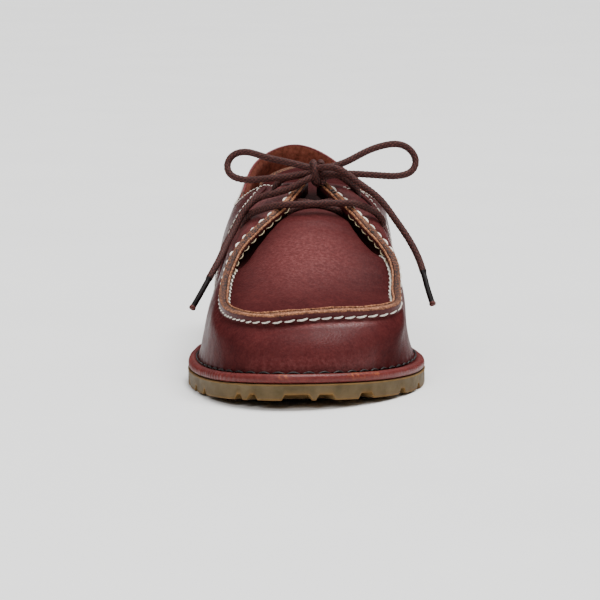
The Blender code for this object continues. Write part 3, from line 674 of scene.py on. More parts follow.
# Painted light on the wall: over the toe, more low on the toe, and on the two wings below the laces.
TOE_PAINTED_LIGHT = 0.15
LOW_TOE_PAINTED_LIGHT = 0.45
WING_PAINTED_LIGHTS = (
    # inner wing, outer wing
    0.8, 0.4,
)
PLUG_BACK_INNER = 0.570
TOE_CORNER_INNER = 0.850
TOE_CORNER_OUTER = 1.235
PLUG_BACK_OUTER = 1.455
PLUG_CROWN = 10.0
PLUG_FULLNESS = 3.0
PLUG_BACK_REACH = 8.0
VALLEY_DEPTH = 4.2
EDGE_FULLNESS = 2.0
PLUG_SLANT = 0.11
# Painted highlight across the toe piece's middle, and painted shade in the valleys beside the seam's upper
# sides.
PLUG_PAINTED_HIGHLIGHT = 0.75
PLUG_PAINTED_SHADE = 0.9
COLLAR_STATIONS = 90
WING_STATIONS = 36
SIDE_STATIONS = 76
TOE_STATIONS = 96
WALL_ROWS = 34
INNER_ROWS = 14
LINING_TOP = 0.86
PUCKER_PITCH = 8.0
PUCKER_DEPTH = 0.45
STITCH_PULL = 0.4
STITCH_PITCHES = (
    # loop, length of one hand stitch along the raised seam
    (0.47, 7.4), (0.64, 7.2), (0.72, 5.4), (0.80, 3.4), (0.86, 2.6), (0.90, 3.0), (0.94, 4.0),
    (0.99, 4.9), (1.02, 5.5), (1.05, 5.8), (1.24, 5.8), (1.34, 6.0), (1.42, 6.6), (1.47, 6.2),
    (1.53, 5.6),
)

crest_curve = curve_of(CREST)
THROAT_INNER = CREST[0][0]
THROAT_OUTER = CREST[-1][0]


def on_ridge(loop):
    """Whether the upper's top edge is the raised seam there, and not the collar."""
    loop = np.mod(loop, 2.0)
    return (loop >= THROAT_INNER) & (loop <= THROAT_OUTER)


def ridge_frame(loop):
    """The raised seam's crest with the ways up it and in across it, and the wall's lean and flare."""
    loop = np.clip(loop, THROAT_INNER, THROAT_OUTER)
    start = crest_curve(np.maximum(loop - NUDGE, THROAT_INNER))[..., :3]
    end = crest_curve(np.minimum(loop + NUDGE, THROAT_OUTER))[..., :3]
    up = np.array([0.0, math.sin(RIDGE_TILT), math.cos(RIDGE_TILT)])
    inward = np.cross(end - start, up)
    inward /= np.linalg.norm(inward, axis=-1, keepdims=True)
    row = crest_curve(loop)
    return row[..., :3], up, inward, row[..., 3:]


def ridge_rise(loop):
    """Height of the raised seam over the wall, which runs out at its two upper ends."""
    full = ease(np.minimum(loop - THROAT_INNER, THROAT_OUTER - loop), 0.0, RIDGE_END_RUN)
    return RIDGE_END_HEIGHT + (RIDGE_HEIGHT - RIDGE_END_HEIGHT) * full


def ridge_foot(loop):
    """Where the upper's wall ends at the outer foot of the raised seam, with its lean and flare."""
    crest, up, inward, slants = ridge_frame(loop)
    spot = crest - up * ridge_rise(loop)[..., None] - inward * RIDGE_WIDTH / 2
    return np.concatenate([spot, slants], axis=-1)


collar_rows = [
    (THROAT_OUTER - 2, *ridge_foot(np.array(THROAT_OUTER))),
    *COLLAR,
    (THROAT_INNER, *ridge_foot(np.array(THROAT_INNER))),
]
collar_curve = curve_of(collar_rows)


def top_edge(loop):
    """Across, along, height, lean and flare of the upper's top edge at a place on the loop."""
    loop = np.mod(loop, 2.0)
    collar = collar_curve(np.where(loop < 1.0, loop, loop - 2.0))
    seam = ridge_foot(np.clip(loop, THROAT_INNER, THROAT_OUTER))
    return np.where(on_ridge(loop)[..., None], seam, collar)


def wall_face(loop, share):
    """Points of the upper's outer face; share runs from the welt (0) to the top edge (1)."""
    foot, inward = outline_point(loop, welt_reach(np.mod(loop, 2.0))[..., 0])
    height = sole_top(foot[..., 1]) + WELT_THICKNESS + GAP
    foot = np.concatenate([foot, height[..., None]], axis=-1)
    edge = top_edge(loop)
    top = edge[..., :3]
    lean = np.radians(edge[..., 3:4])
    flare = np.radians(edge[..., 4:5])
    inward = np.concatenate([inward, np.zeros_like(height)[..., None]], axis=-1)
    up = np.array([0.0, 0.0, 1.0])
    pull = WALL_FULLNESS * np.linalg.norm(top - foot, axis=-1, keepdims=True)
    first = foot + pull * (up * np.cos(flare) - inward * np.sin(flare))
    second = top - pull * (up * np.cos(lean) + inward * np.sin(lean))
    share = np.asarray(share)[..., None]
    rest = 1 - share
    return (foot * rest ** 3 + 3 * first * share * rest ** 2
            + 3 * second * share ** 2 * rest + top * share ** 3)


def wall_point(loop, share, out=0.0):
    """The same moved out from the face by a distance, with the way out."""
    step = 2 * NUDGE
    rise = wall_face(loop, np.minimum(share + step, 1.0)) - wall_face(loop, np.maximum(share - step, 0.0))
    before = np.where(on_ridge(loop - step) == on_ridge(loop), loop - step, loop)
    after = np.where(on_ridge(loop + step) == on_ridge(loop), loop + step, loop)
    normal = np.cross(rise, wall_face(after, share) - wall_face(before, share))
    normal /= np.linalg.norm(normal, axis=-1, keepdims=True)
    return wall_face(loop, share) + normal * np.asarray(out)[..., None], normal


crest_loops = np.linspace(THROAT_INNER, THROAT_OUTER, 600)
crest_lengths = lengths_along(crest_curve(crest_loops)[:, :3])


def stitch_count(loops):
    """How many hand stitches there are along the raised seam up to each place on the loop."""
    steps = np.diff(crest_lengths) / read_off(STITCH_PITCHES, crest_loops)[1:]
    return np.interp(loops, crest_loops, np.append(0.0, np.cumsum(steps)))


def wall_swell(loop, share):
    """How far the worn leather stands out from the last: soft waves, gathers at the welt, stitch pulls."""
    along = welt_travel(loop)
    waves = 0.10 * np.sin(along / 9.5 + 5 * share) * np.sin(along / 17.0 + 1.3 - 3 * share)
    waves += 0.05 * np.sin(along / 5.1 - 7 * share + 0.6) * np.sin(along / 12.0 + 4 * share)
    gathers = -PUCKER_DEPTH * np.cos(2 * math.pi * along / PUCKER_PITCH) * np.exp(-share * 30)
    seam = np.cos(2 * math.pi * stitch_count(np.mod(loop, 2.0)))
    pulls = np.where(on_ridge(loop), -STITCH_PULL * (0.5 + 0.5 * seam) * np.exp((share - 1) * 22), 0.0)
    calm = ease(share, 0.0, 0.06) * ease(1 - share, 0.0, 0.05)
    return waves * calm + gathers * ease(share, 0.0, 0.02) + pulls * ease(1 - share, 0.0, 0.01)


def raw_edge():
    """Undyed cut leather: tan corners, partly a painted highlight along their sharp edges, and darker fibres
    between them.
    """
    material, tree, shader, place = start_material("tan cut leather edge, raw", IOR=1.45, Roughness=0.8)
    corner = painted(tree, "corner")
    fibres = mottle(tree, place, 0.9, detail=5.0, roughness=0.75)
    inside = shades(tree, fibres, (0.42, "#100504"), (0.51, "#38190d"), (0.62, "#80482b"))
    outside = shades(tree, fibres, (0.38, "#4d2615"), (0.50, "#925836"), (0.62, "#c98f68"))
    tree.links.new(blend(tree, corner, inside, outside), shader.inputs["Base Color"])
    tree.links.new(relief(tree, fibres, 0.25), shader.inputs["Normal"])
    return material


raw = raw_edge()


def stretch(start, end, count):
    """Places on the loop from start to end, with both of them."""
    return list(np.linspace(start, end, count + 1))


ridge_loops = np.array(
    stretch(THROAT_INNER, PLUG_BACK_INNER, WING_STATIONS)[:-1]
    + stretch(PLUG_BACK_INNER, TOE_CORNER_INNER, SIDE_STATIONS)[:-1]
    + stretch(TOE_CORNER_INNER, TOE_CORNER_OUTER, TOE_STATIONS)[:-1]
    + stretch(TOE_CORNER_OUTER, PLUG_BACK_OUTER, SIDE_STATIONS)[:-1]
    + stretch(PLUG_BACK_OUTER, THROAT_OUTER, WING_STATIONS)
)
collar_loops = np.array(stretch(THROAT_OUTER - 2, 0.0, COLLAR_STATIONS)[:-1]
                        + stretch(0.0, THROAT_INNER, COLLAR_STATIONS))


def ridge_rim(loops):
    """The rows that take the upper's section over the raised seam, its two cut edges a little uneven."""
    crest, up, inward, _ = ridge_frame(loops)
    rise = ridge_rise(loops)
    travel = np.interp(loops, crest_loops, crest_lengths)
    rows = []
    for k, (across, height) in enumerate(RIDGE_PROFILE):
        height = np.full(len(loops), height)
        if k < RIDGE_OUTER_ROWS:
            height = height * rise / RIDGE_HEIGHT
        uneven = RIDGE_UNEVEN * np.sin(travel / 2.3 + k * 0.35) * np.sin(travel / 5.9 + k * 0.2)
        if not RIDGE_RAW_ROWS[0] <= k <= RIDGE_RAW_ROWS[1]:
            uneven = uneven * RIDGE_FACE_SHARE
        bulge = RIDGE_BULGE * math.copysign(1, across) * np.sin(travel / 4.1 + 1.1)
        rows.append(crest + up * (height + uneven)[:, None] + inward * (across + bulge)[:, None])
    rows.append(rows[-1] - up * WALL_THICKNESS)
    return rows


def collar_rim(loops):
    """The rows over the collar's cut edge and down its inside."""
    edge = collar_curve(loops)
    lean = np.radians(edge[:, 3:4])
    sideways = np.column_stack([outline_point(loops)[1], np.zeros(len(loops))])
    up = np.array([0.0, 0.0, 1.0]) * np.cos(lean) + sideways * np.sin(lean)
    ends = collar_curve(np.minimum(loops + NUDGE, THROAT_INNER))[:, :3]
    run = ends - collar_curve(np.maximum(loops - NUDGE, THROAT_OUTER - 2))[:, :3]
    inward = np.cross(run, up)
    inward /= np.linalg.norm(inward, axis=1, keepdims=True)
    rows = [edge[:, :3] + inward * across + up * height for across, height in COLLAR_PROFILE]
    rows.append(rows[-1] - up)
    return rows


wall_shares = np.linspace(0, 1, WALL_ROWS + 1)
inner_shares = np.linspace(LINING_TOP, 0, INNER_ROWS + 1)


def upper_section(loops, rim):
    """The closed sections of the upper: outer face, top edge, inner face."""
    rows = []
    for share in wall_shares:
        shares = np.full(len(loops), share)
        rows.append(wall_point(loops, shares, wall_swell(loops, shares))[0])
    rows += rim
    for share in inner_shares:
        rows.append(wall_point(loops, np.full(len(loops), share), -WALL_THICKNESS)[0])
    return np.stack(rows, axis=1)


ridge_part = upper_section(ridge_loops, ridge_rim(ridge_loops))
collar_part = upper_section(collar_loops, collar_rim(collar_loops))
first_rim = len(wall_shares)
seat_row = first_rim + len(RIDGE_PROFILE) - 1
under_row = seat_row + 1
form = bmesh.new()
tan_and_highlight_layer = form.verts.layers.float.new("corner")
wax_layer = form.verts.layers.float.new("wax")
painted_shade_layer = form.verts.layers.float.new("painted_shade")
painted_light_layer = form.verts.layers.float.new("painted_light")
verts, faces = add_grid(form, np.concatenate([ridge_part, collar_part]), around=True, closed=True)
rows_in_section = ridge_part.shape[1]
LEATHER_SLOT, RAW_SLOT, LINING_SLOT = 0, 1, 2
plug_start = WING_STATIONS
plug_end = WING_STATIONS + 2 * SIDE_STATIONS + TOE_STATIONS
open_faces = []
for k, face in enumerate(faces):
    station, row = divmod(k, rows_in_section)
    rim_row = row - first_rim
    ridge = station < len(ridge_loops)
    raw_rows = RIDGE_RAW_ROWS if ridge else COLLAR_RAW_ROWS
    bare = ridge or collar_loops[station - len(ridge_loops)] > COLLAR_BARE
    if raw_rows[0] <= rim_row < raw_rows[1]:
        face.material_index = RAW_SLOT if bare else LEATHER_SLOT
    elif rim_row >= (len(RIDGE_PROFILE) + RIDGE_UNDER_ROWS if ridge else raw_rows[1]):
        face.material_index = LINING_SLOT
    if row == seat_row and plug_start <= station < plug_end:
        open_faces.append(face)
bmesh.ops.delete(form, geom=open_faces, context="FACES_ONLY")


def wall_gloss_and_painted_light(loop, share):
    """What is left of the wall's gloss below the raised seam, and how much painted light lightens its
    colour: a painted highlight just under the seam, and painted light over the toe, low on the toe and on
    the wings.
    """
    toe = 1 - ease(abs(loop - FRONT_LOOP), 0.10, 0.17)
    front = ease(loop, 1.00, 1.07) * (1 - ease(loop, 1.15, 1.22))
    wing = ease(abs(loop - 1.0), 0.42, 0.47) * ease(share, 0.4, 0.8) * WING_PAINTED_LIGHTS[int(loop >= 1)]
    low = LOW_TOE_PAINTED_LIGHT * toe * (1 - ease(share, 0.1, 0.45))
    under_seam = front * math.exp(-((share - 0.93) / 0.07) ** 2)
    gloss = 1 - TOE_DULLING * toe * (1 - ease(share, 0.80, 0.93))
    return gloss, max(under_seam, low, TOE_PAINTED_LIGHT * toe, wing)


for loop, row in zip(np.concatenate([ridge_loops, collar_loops]), verts):
    wax = read_off(WAX, loop % 2.0)
    ridge = on_ridge(loop)
    for k, vert in enumerate(row):
        vert[wax_layer] = wax if k < first_rim else RIM_WAX
        if k < first_rim and ridge:
            gloss, vert[painted_light_layer] = wall_gloss_and_painted_light(loop, wall_shares[k])
            vert[wax_layer] = wax * gloss
        # Painted light along the collar's cut edge.
        elif first_rim < k <= first_rim + COLLAR_RAW_ROWS[1] and not ridge:
            vert[painted_light_layer] = 1.0
        # Painted shade on the inside of the raised seam and the wall beneath it, away from the toe.
        if k > first_rim + RIDGE_RAW_ROWS[1] + 1 and ridge:
            vert[painted_shade_layer] = ease(abs(loop - FRONT_LOOP), 0.30, 0.38)
for loop, row in zip(ridge_loops, verts):
    front = 1 - ease(abs(loop - FRONT_LOOP), 0.13, 0.22)
    wing = WING_TAN * ease(abs(loop - 1.0), 0.43, 0.48)
    for k, tan in RIDGE_TAN:
        bared = max(front, wing) if k > RIDGE_BROWN_ROW else wing
        row[first_rim + k][tan_and_highlight_layer] = tan + (FULL_TAN - tan) * bared
for loop, row in zip(collar_loops, verts[len(ridge_loops):]):
    for k in range(COLLAR_RAW_ROWS[0], COLLAR_RAW_ROWS[1] + 1):
        row[first_rim + k][tan_and_highlight_layer] = ease(loop, 0.30, 0.38)


def plug_wear(ahead, over, arch):
    """The toe piece's wear: a fold across its back, low waves and a dip beside the seam's upper sides."""
    edge = 1 - np.abs(2 * over - 1)
    reach = ahead + PLUG_SLANT * over
    inside = ease(edge, 0.0, 0.03)
    valley = inside * (1 - ease(edge, 0.04, 0.23)) * (1 - ease(reach, 0.16, 0.42))
    full = inside * (1 - ease(edge, 0.06, 0.5)) * ease(reach, 0.30, 0.46) * (1 - ease(ahead, 0.90, 1.0))
    fold = 0.16 * np.exp(-((ahead - 0.075 - 0.02 * arch) / 0.022) ** 2)
    dip = -0.2 * np.exp(-((ahead - 0.13 - 0.03 * arch) / 0.03) ** 2)
    waves = 0.10 * np.sin(17 * ahead + 3 * over) * np.sin(9 * over + 4 * ahead)
    return (fold + dip) * arch ** 0.5 + waves * arch - VALLEY_DEPTH * valley + EDGE_FULLNESS * full


def toe_piece(row):
    """The toe piece's face as a patch inside the raised seam's foot, from its free back edge to the toe."""
    seam = ridge_part[plug_start:plug_end + 1, row]
    left = seam[:SIDE_STATIONS + 1][:, None]
    front = seam[SIDE_STATIONS:SIDE_STATIONS + TOE_STATIONS + 1][None]
    right = seam[SIDE_STATIONS + TOE_STATIONS:][::-1][:, None]
    ahead = np.linspace(0, 1, SIDE_STATIONS + 1)[:, None, None]
    over = np.linspace(0, 1, TOE_STATIONS + 1)[None, :, None]
    arch = 1 - (2 * over - 1) ** 2
    start, end = left[0, 0], right[0, 0]
    back = start + (end - start) * over + np.array([0.0, -PLUG_BACK_REACH, PLUG_CROWN]) * arch
    sides = left * (1 - over) + right * over
    ends = back * (1 - ahead) + front * ahead
    corners = ((start * (1 - over) + end * over) * (1 - ahead)
               + (left[-1, 0] * (1 - over) + right[-1, 0] * over) * ahead)
    patch = sides + ends - corners
    patch[..., 2:] += PLUG_FULLNESS * np.sin(math.pi * ahead) * arch + plug_wear(ahead, over, arch)
    return patch


toe_face = toe_piece(seat_row)
above, _ = add_grid(form, toe_face)
for i, row in enumerate(above):
    ahead = i / SIDE_STATIONS
    for j, vert in enumerate(row):
        over = j / TOE_STATIONS
        arch = 1 - (2 * over - 1) ** 2
        edge = 1 - abs(2 * over - 1)
        # Painted shade in the deep valley beside the seam's upper sides; a little darker also near the
        # seam's sides and towards the toe.
        upper_side = 1 - ease(ahead + PLUG_SLANT * over, 0.26, 0.42)
        seam_and_toe_darkening = max(0.2 * (1 - ease(edge, 0.15, 0.6)), 0.1 * ease(ahead, 0.65, 0.9))
        vert[painted_shade_layer] = max(PLUG_PAINTED_SHADE * (1 - ease(edge, 0.03, 0.12)) * upper_side, seam_and_toe_darkening)
        # Painted highlight across the toe piece's middle.
        vert[painted_light_layer] = PLUG_PAINTED_HIGHLIGHT * math.exp(-((ahead - 0.38) / 0.27) ** 2) * arch ** 2
        vert[wax_layer] = 0.02 + 0.10 * (1 - ease(ahead, 0.45, 0.9)) * arch ** 0.8
below, faces = add_grid(form, toe_piece(under_row))
for face in faces:
    face.material_index = LINING_SLOT
for j in range(TOE_STATIONS):
    form.faces.new((above[0][j], above[0][j + 1], below[0][j + 1], below[0][j]))
# Painted shade along the toe piece's free back edge.
for vert in below[0]:
    vert[painted_shade_layer] = PLUG_PAINTED_SHADE
upper = add_piece("leather_upper", form, [upper_leather, raw, lining])
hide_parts("upper")


# Eyelets: four plain holes punched through the wings of the upper, with no metal ring.
# They are cut out of the finished wall, so the lace runs through real holes.
EYELET_DIAMETER = 4.6
PUNCH_LENGTH = 9.0
PUNCH_SIDES = 24
EYELETS = (
    # loop, share of the wall's height
    (0.506, 0.67),
    (0.468, 0.87),
    (1.500, 0.69),
    (1.545, 0.865),
)

punch = bmesh.new()
punch_radius = EYELET_DIAMETER / 2 * MM
eyelet_frames = []
for loop, share in EYELETS:
    spot, out = (row[0] for row in wall_point(np.array([loop]), np.array([share])))
    eyelet_frames.append((spot, out))
    turned = Vector(out * [1, -1, 1]).to_track_quat("Z", "Y").to_matrix().to_4x4()
    turned.translation = Vector(placed(spot))
    bmesh.ops.create_cone(punch, cap_ends=True, segments=PUNCH_SIDES, radius1=punch_radius,
                          radius2=punch_radius, depth=PUNCH_LENGTH * MM, matrix=turned)
punch_mesh = bpy.data.meshes.new("eyelet_punch")
punch.to_mesh(punch_mesh)
punch.free()
punch_mesh.materials.append(raw)
punch_tool = bpy.data.objects.new("eyelet_punch", punch_mesh)
bpy.context.scene.collection.objects.link(punch_tool)
boolean = upper.modifiers.new("eyelets", "BOOLEAN")
boolean.operation = "DIFFERENCE"
boolean.solver = "EXACT"
boolean.object = punch_tool
bpy.context.view_layer.update()
punched = bpy.data.meshes.new_from_object(upper.evaluated_get(bpy.context.evaluated_depsgraph_get()))
upper.modifiers.clear()
upper.data = punched
punched.name = "leather_upper"
bpy.data.objects.remove(punch_tool)


# Heel quarter: the back panel of the same leather, laid over the upper and sewn down along both ends.
# It runs round the heel from seam to seam, its cut edge turned under.
QUARTER_GAP = 0.35
QUARTER_THICKNESS = 1.3
QUARTER_LOW = 0.08
QUARTER_HIGH = 0.95
QUARTER_WAX = 0.7
QUARTER_SEAMS = {
    # share of its height, loop of its outer end and of its inner end
    0.00: (0.525, 0.545), 0.40: (0.467, 0.508), 0.60: (0.450, 0.488), 0.76: (0.446, 0.468),
    1.00: (0.456, 0.444),
}
QUARTER_ROWS = 34
QUARTER_COLUMNS = 180
QUARTER_HALF = 70.0
QUARTER_HEIGHT = 40.0
QUARTER_EDGE = 0.45
QUARTER_EDGE_RUN = 1.6
QUARTER_SWELL = 0.25
QUARTER_CALM = 6.0

quarter_seams = smooth_through(list(QUARTER_SEAMS), list(QUARTER_SEAMS.values()))


def quarter_point(sideways, up, out):
    """A point of the heel quarter; sideways runs from -1 at the outer seam to 1 at the inner one."""
    share = QUARTER_LOW + (QUARTER_HIGH - QUARTER_LOW) * up
    outer, inner = np.moveaxis(quarter_seams(up), -1, 0)
    return wall_point(np.where(sideways < 0, outer, inner) * sideways, share, out)


def add_slab(form, face, back):
    """Two grids of points and the rim between them."""
    front_verts, _ = add_grid(form, face)
    back_verts, _ = add_grid(form, back)
    rims = []
    for grid in (front_verts, back_verts):
        rim = list(grid[0]) + [row[-1] for row in grid[1:]]
        rim += list(grid[-1][-2::-1]) + [row[0] for row in grid[-2:0:-1]]
        rims.append(rim)
    edges = []
    for k in range(len(rims[0])):
        after = (k + 1) % len(rims[0])
        edges.append(form.faces.new((rims[0][k], rims[0][after], rims[1][after], rims[1][k])))
    return edges


sideways, up = np.meshgrid(np.linspace(-1, 1, QUARTER_COLUMNS), np.linspace(0, 1, QUARTER_ROWS))
from_edge = np.minimum((1 - np.abs(sideways)) * QUARTER_HALF, np.minimum(up, 1 - up) * QUARTER_HEIGHT)
full = QUARTER_EDGE + (1 - QUARTER_EDGE) * ease(from_edge, 0.0, QUARTER_EDGE_RUN)
lift = QUARTER_GAP + QUARTER_THICKNESS * full
swell = QUARTER_SWELL * np.sin(9 * sideways + 3 * up) * np.sin(5 * up + 7 * sideways)
swell *= ease(from_edge, 0.0, QUARTER_CALM)
form = bmesh.new()
wax_layer = form.verts.layers.float.new("wax")
face, _ = quarter_point(sideways, up, lift + swell)
back, _ = quarter_point(sideways, up, np.full(up.shape, QUARTER_GAP))
add_slab(form, face, back)
for vert in form.verts:
    vert[wax_layer] = QUARTER_WAX
heel_quarter = add_piece("leather_heel_quarter", form, [upper_leather])
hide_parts("heel_quarter")


# Tongue: a flap of the same leather under the laces, cut and left raw at its edge, with its root
# tucked in below the toe piece and its tip standing in the collar.
TONGUE = (
    # along, height, half width, droop at its edges
    (116.0, 91.0, 27.5, 9.0),
    (134.0, 84.6, 26.5, 13.5),
    (150.0, 77.6, 26.0, 9.5),
    (170.0, 70.6, 24.0, 6.5),
    (190.0, 66.6, 21.0, 6.0),
)
TONGUE_MIDDLE = 4.0
TONGUE_THICKNESS = 2.0
TONGUE_ROWS = 60
TONGUE_COLUMNS = 49
TONGUE_ROUNDING = 0.14
TONGUE_FRAY = 2
# Painted shade on the tongue: some all over, and more towards its root where the laces shade it.
TONGUE_SHADE = (139.0, 147.0)
TONGUE_PAINTED_SHADE = 0.35
LACE_PAINTED_SHADE = 0.6
TONGUE_WAX = 0.05
TONGUE_TAN = 0.15
TONGUE_ROUND_RUN = 20.0
TONGUE_WAVES = 0.18

tongue_tip, tongue_root = TONGUE[0][0], TONGUE[-1][0]
stations = np.linspace(tongue_tip, tongue_root, TONGUE_ROWS)
over, along = np.meshgrid(np.linspace(-1, 1, TONGUE_COLUMNS), stations)
height, half, droop = np.moveaxis(curve_of(TONGUE)(along), -1, 0)
half = half * (1 - TONGUE_ROUNDING * (1 - ease(along - tongue_tip, 0, TONGUE_ROUND_RUN)) * over ** 2)
waves = TONGUE_WAVES * np.sin(along / 4.3 + 2 * over) * np.sin(along / 9.1 + 3 * over)
face = np.stack([TONGUE_MIDDLE + over * half, along, height - droop * over ** 2 + waves], axis=-1)
form = bmesh.new()
tan_and_highlight_layer = form.verts.layers.float.new("corner")
wax_layer = form.verts.layers.float.new("wax")
painted_shade_layer = form.verts.layers.float.new("painted_shade")
edges = add_slab(form, face, face - np.array([0.0, 0.0, TONGUE_THICKNESS]))
form.faces.ensure_lookup_table()
for i in range(TONGUE_ROWS - 1):
    for j in range(TONGUE_COLUMNS - 1):
        if i < TONGUE_FRAY or min(j, TONGUE_COLUMNS - 2 - j) < 1:
            edges.append(form.faces[i * (TONGUE_COLUMNS - 1) + j])
for vert in form.verts:
    vert[wax_layer] = TONGUE_WAX
    # Painted shade from the laces, darkest towards the tongue's root.
    vert[painted_shade_layer] = TONGUE_PAINTED_SHADE + LACE_PAINTED_SHADE * ease(SOLE_LENGTH / 2 - vert.co.y / MM, *TONGUE_SHADE)
for edge in edges:
    edge.material_index = RAW_SLOT
    for vert in edge.verts:
        vert[tan_and_highlight_layer] = TONGUE_TAN
tongue = add_piece("leather_tongue", form, [upper_leather, raw])
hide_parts("tongue")


# Laces: one round braided cord of dark brown cotton. It passes through the lower eyelets, crosses
# under the wings, comes out of the top eyelets and is tied in a bow with two hanging ends.
LACE_DIAMETER = 3.4
LACE_SIDES = 24
BRAID_STEP = 0.42
BRAID_CELLS = 6
BRAID_PITCH = 2.1
BRAID_DEPTH = 0.24
TIP_LENGTH = 18.0
TIP_RADIUS = 1.3
TIP_STEP = 0.5
TIP_LIP = 0.28
TIP_LIP_LENGTH = 1.5
TIP_FRAY = 1.6
TIP_FLARE = 0.25
BAR = (
    # across, along, height
    (-25.5, 160.0, 70.8), (-20.8, 164.5, 73.8), (-14.8, 171.5, 76.4), (-7.8, 176.5, 77.8),
    (0.0, 178.5, 78.3), (6.1, 178.5, 78.5), (11.7, 178.0, 78.7), (17.8, 177.0, 78.6),
    (24.2, 173.6, 78.0), (30.4, 168.6, 75.4), (35.2, 164.4, 72.2),
)
CROSSING = (
    (-15.5, 163.0, 67.0), (-10.0, 168.5, 70.4), (-4.5, 171.5, 74.2), (0.5, 172.0, 76.2),
    (5.5, 170.5, 77.2), (10.0, 167.5, 77.8), (13.5, 164.0, 78.0), (16.0, 158.0, 76.6),
    (20.5, 150.0, 76.0),
)
CROSSING_BACK = (
    (24.5, 160.0, 70.0), (20.5, 167.0, 72.2), (15.5, 170.8, 74.8), (11.0, 172.0, 76.2),
    (6.0, 170.0, 77.4), (2.0, 166.5, 77.9), (-1.5, 163.5, 77.8), (-5.5, 157.0, 76.4),
    (-9.5, 150.5, 77.4),
)
RISER_INNER = (
    (-9.5, 146.0, 86.4), (-4.5, 149.5, 88.4), (1.5, 153.5, 89.4), (6.5, 156.5, 88.4), (10.6, 158.6, 86.0),
)
RISER_OUTER = (
    (22.2, 147.0, 85.8), (15.8, 152.0, 89.4), (10.5, 155.5, 88.6), (5.0, 158.4, 86.8),
)
LOOP_INNER = (
    (7.4, 156.6, 92.4), (3.4, 157.0, 93.4), (-5.5, 154.0, 95.4), (-18.6, 150.0, 98.2), (-26.6, 147.0, 99.9),
    (-32.2, 147.0, 98.4), (-35.0, 149.0, 94.0), (-33.6, 152.0, 89.8), (-28.6, 154.0, 87.7),
    (-18.7, 156.0, 87.9), (-5.6, 157.5, 89.4), (3.4, 158.0, 91.0), (7.4, 158.0, 91.4),
)
LOOP_OUTER = (
    (7.0, 156.6, 92.4), (11.0, 157.0, 93.2), (20.5, 154.0, 95.6), (30.0, 150.0, 100.0), (39.6, 147.0, 103.0),
    (46.7, 147.0, 103.3), (52.4, 148.5, 99.8), (54.0, 150.0, 95.2), (52.0, 152.0, 91.2),
    (46.4, 154.0, 89.2), (38.0, 156.0, 89.4), (24.0, 157.5, 90.4), (11.0, 158.0, 90.6),
    (7.0, 158.0, 90.8),
)
END_INNER = (
    (6.2, 160.4, 89.8), (3.6, 161.8, 88.8), (-0.4, 162.6, 86.8), (-5.0, 162.8, 84.4), (-9.9, 162.2, 82.6),
    (-14.7, 161.2, 81.2), (-20.6, 159.6, 79.2), (-24.6, 160.8, 76.3), (-28.4, 163.5, 71.8),
    (-31.6, 167.5, 65.9), (-35.4, 175.0, 60.0), (-37.2, 181.5, 56.8), (-39.2, 188.0, 53.2),
    (-42.2, 194.0, 48.4), (-45.6, 199.0, 42.8), (-48.8, 203.0, 37.6), (-51.8, 206.0, 32.9),
)
END_OUTER = (
    (7.6, 161.0, 93.4), (11.0, 163.2, 94.2), (15.4, 163.6, 93.7), (19.2, 164.0, 92.2), (22.6, 165.2, 89.9),
    (27.8, 168.0, 86.2), (35.8, 173.5, 80.2), (42.2, 178.0, 72.2), (48.9, 184.0, 62.6),
    (54.4, 192.0, 51.2), (57.2, 200.0, 40.6), (59.3, 204.0, 34.1),
)
KNOT_CENTRE = (7.2, 157.0, 90.8)
KNOT_RADIUS = 4.9
KNOT_START = math.radians(125.0)
KNOT_TURNS = 1.2
KNOT_PITCH = 3.4
KNOT_POINTS = 15


def braided_cord():
    """Dark brown cotton braid, dull, with lighter threads here and there and painted shade in the hollows
    between its yarns.
    """
    material, tree, shader, place = start_material(
        "dark brown cotton braid", IOR=1.45, Roughness=0.75, Specular_IOR_Level=0.3)
    threads = shades(tree, mottle(tree, place, 0.8, detail=4.0, roughness=0.7),
                     (0.3, "#31120f"), (0.5, "#502621"), (0.72, "#74443e"))
    hollow_shade = painted(tree, "hollow_shade")
    dark = shades(tree, mottle(tree, place, 3.0), (0.3, "#0d0505"), (0.7, "#190a09"))
    tree.links.new(blend(tree, hollow_shade, threads, dark), shader.inputs["Base Color"])
    tree.links.new(relief(tree, mottle(tree, place, 0.35), 0.06), shader.inputs["Normal"])
    return material


def shrunk_tip():
    """Black heat-shrunk plastic, smooth, a little scuffed."""
    material, tree, shader, place = start_material(
        "black shrunk plastic tip", IOR=1.5, Specular_IOR_Level=0.2)
    black = shades(tree, mottle(tree, place, 2.0), (0.35, "#090405"), (0.7, "#170d0e"))
    tree.links.new(black, shader.inputs["Base Color"])
    tree.links.new(span(tree, mottle(tree, place, 1.5), 0.3, 0.5), shader.inputs["Roughness"])
    return material


lace_cord = braided_cord()
tip_plastic = shrunk_tip()


def points_at(wanted, travel, path):
    """Points of a path at wanted lengths along it."""
    return np.stack([np.interp(wanted, travel, path[:, k]) for k in range(3)], axis=-1)


def along_route(route, step, short=0.0):
    """Points at even steps on a smooth curve through a route, short of its end, with the length so far."""
    lengths = lengths_along(route)
    fine = smooth_through(lengths, route)(np.linspace(0, lengths[-1], 1200))
    travel = lengths_along(fine)
    count = max(4, round(travel[-1] / step))
    wanted = np.linspace(0, travel[-1], count + 1)
    wanted = wanted[wanted <= travel[-1] - short]
    return points_at(wanted, travel, fine), wanted


def side_frames(spots):
    """Two ways across a path at each of its points, turning as little as they can."""
    runs = np.gradient(spots, axis=0)
    runs /= np.linalg.norm(runs, axis=1, keepdims=True)
    side = np.cross(runs[0], [0.3, 0.2, 1.0])
    sides = []
    for run in runs:
        side = side - run * (side @ run)
        side = side / np.linalg.norm(side)
        sides.append(side)
    sides = np.array(sides)
    return sides, np.cross(runs, sides)


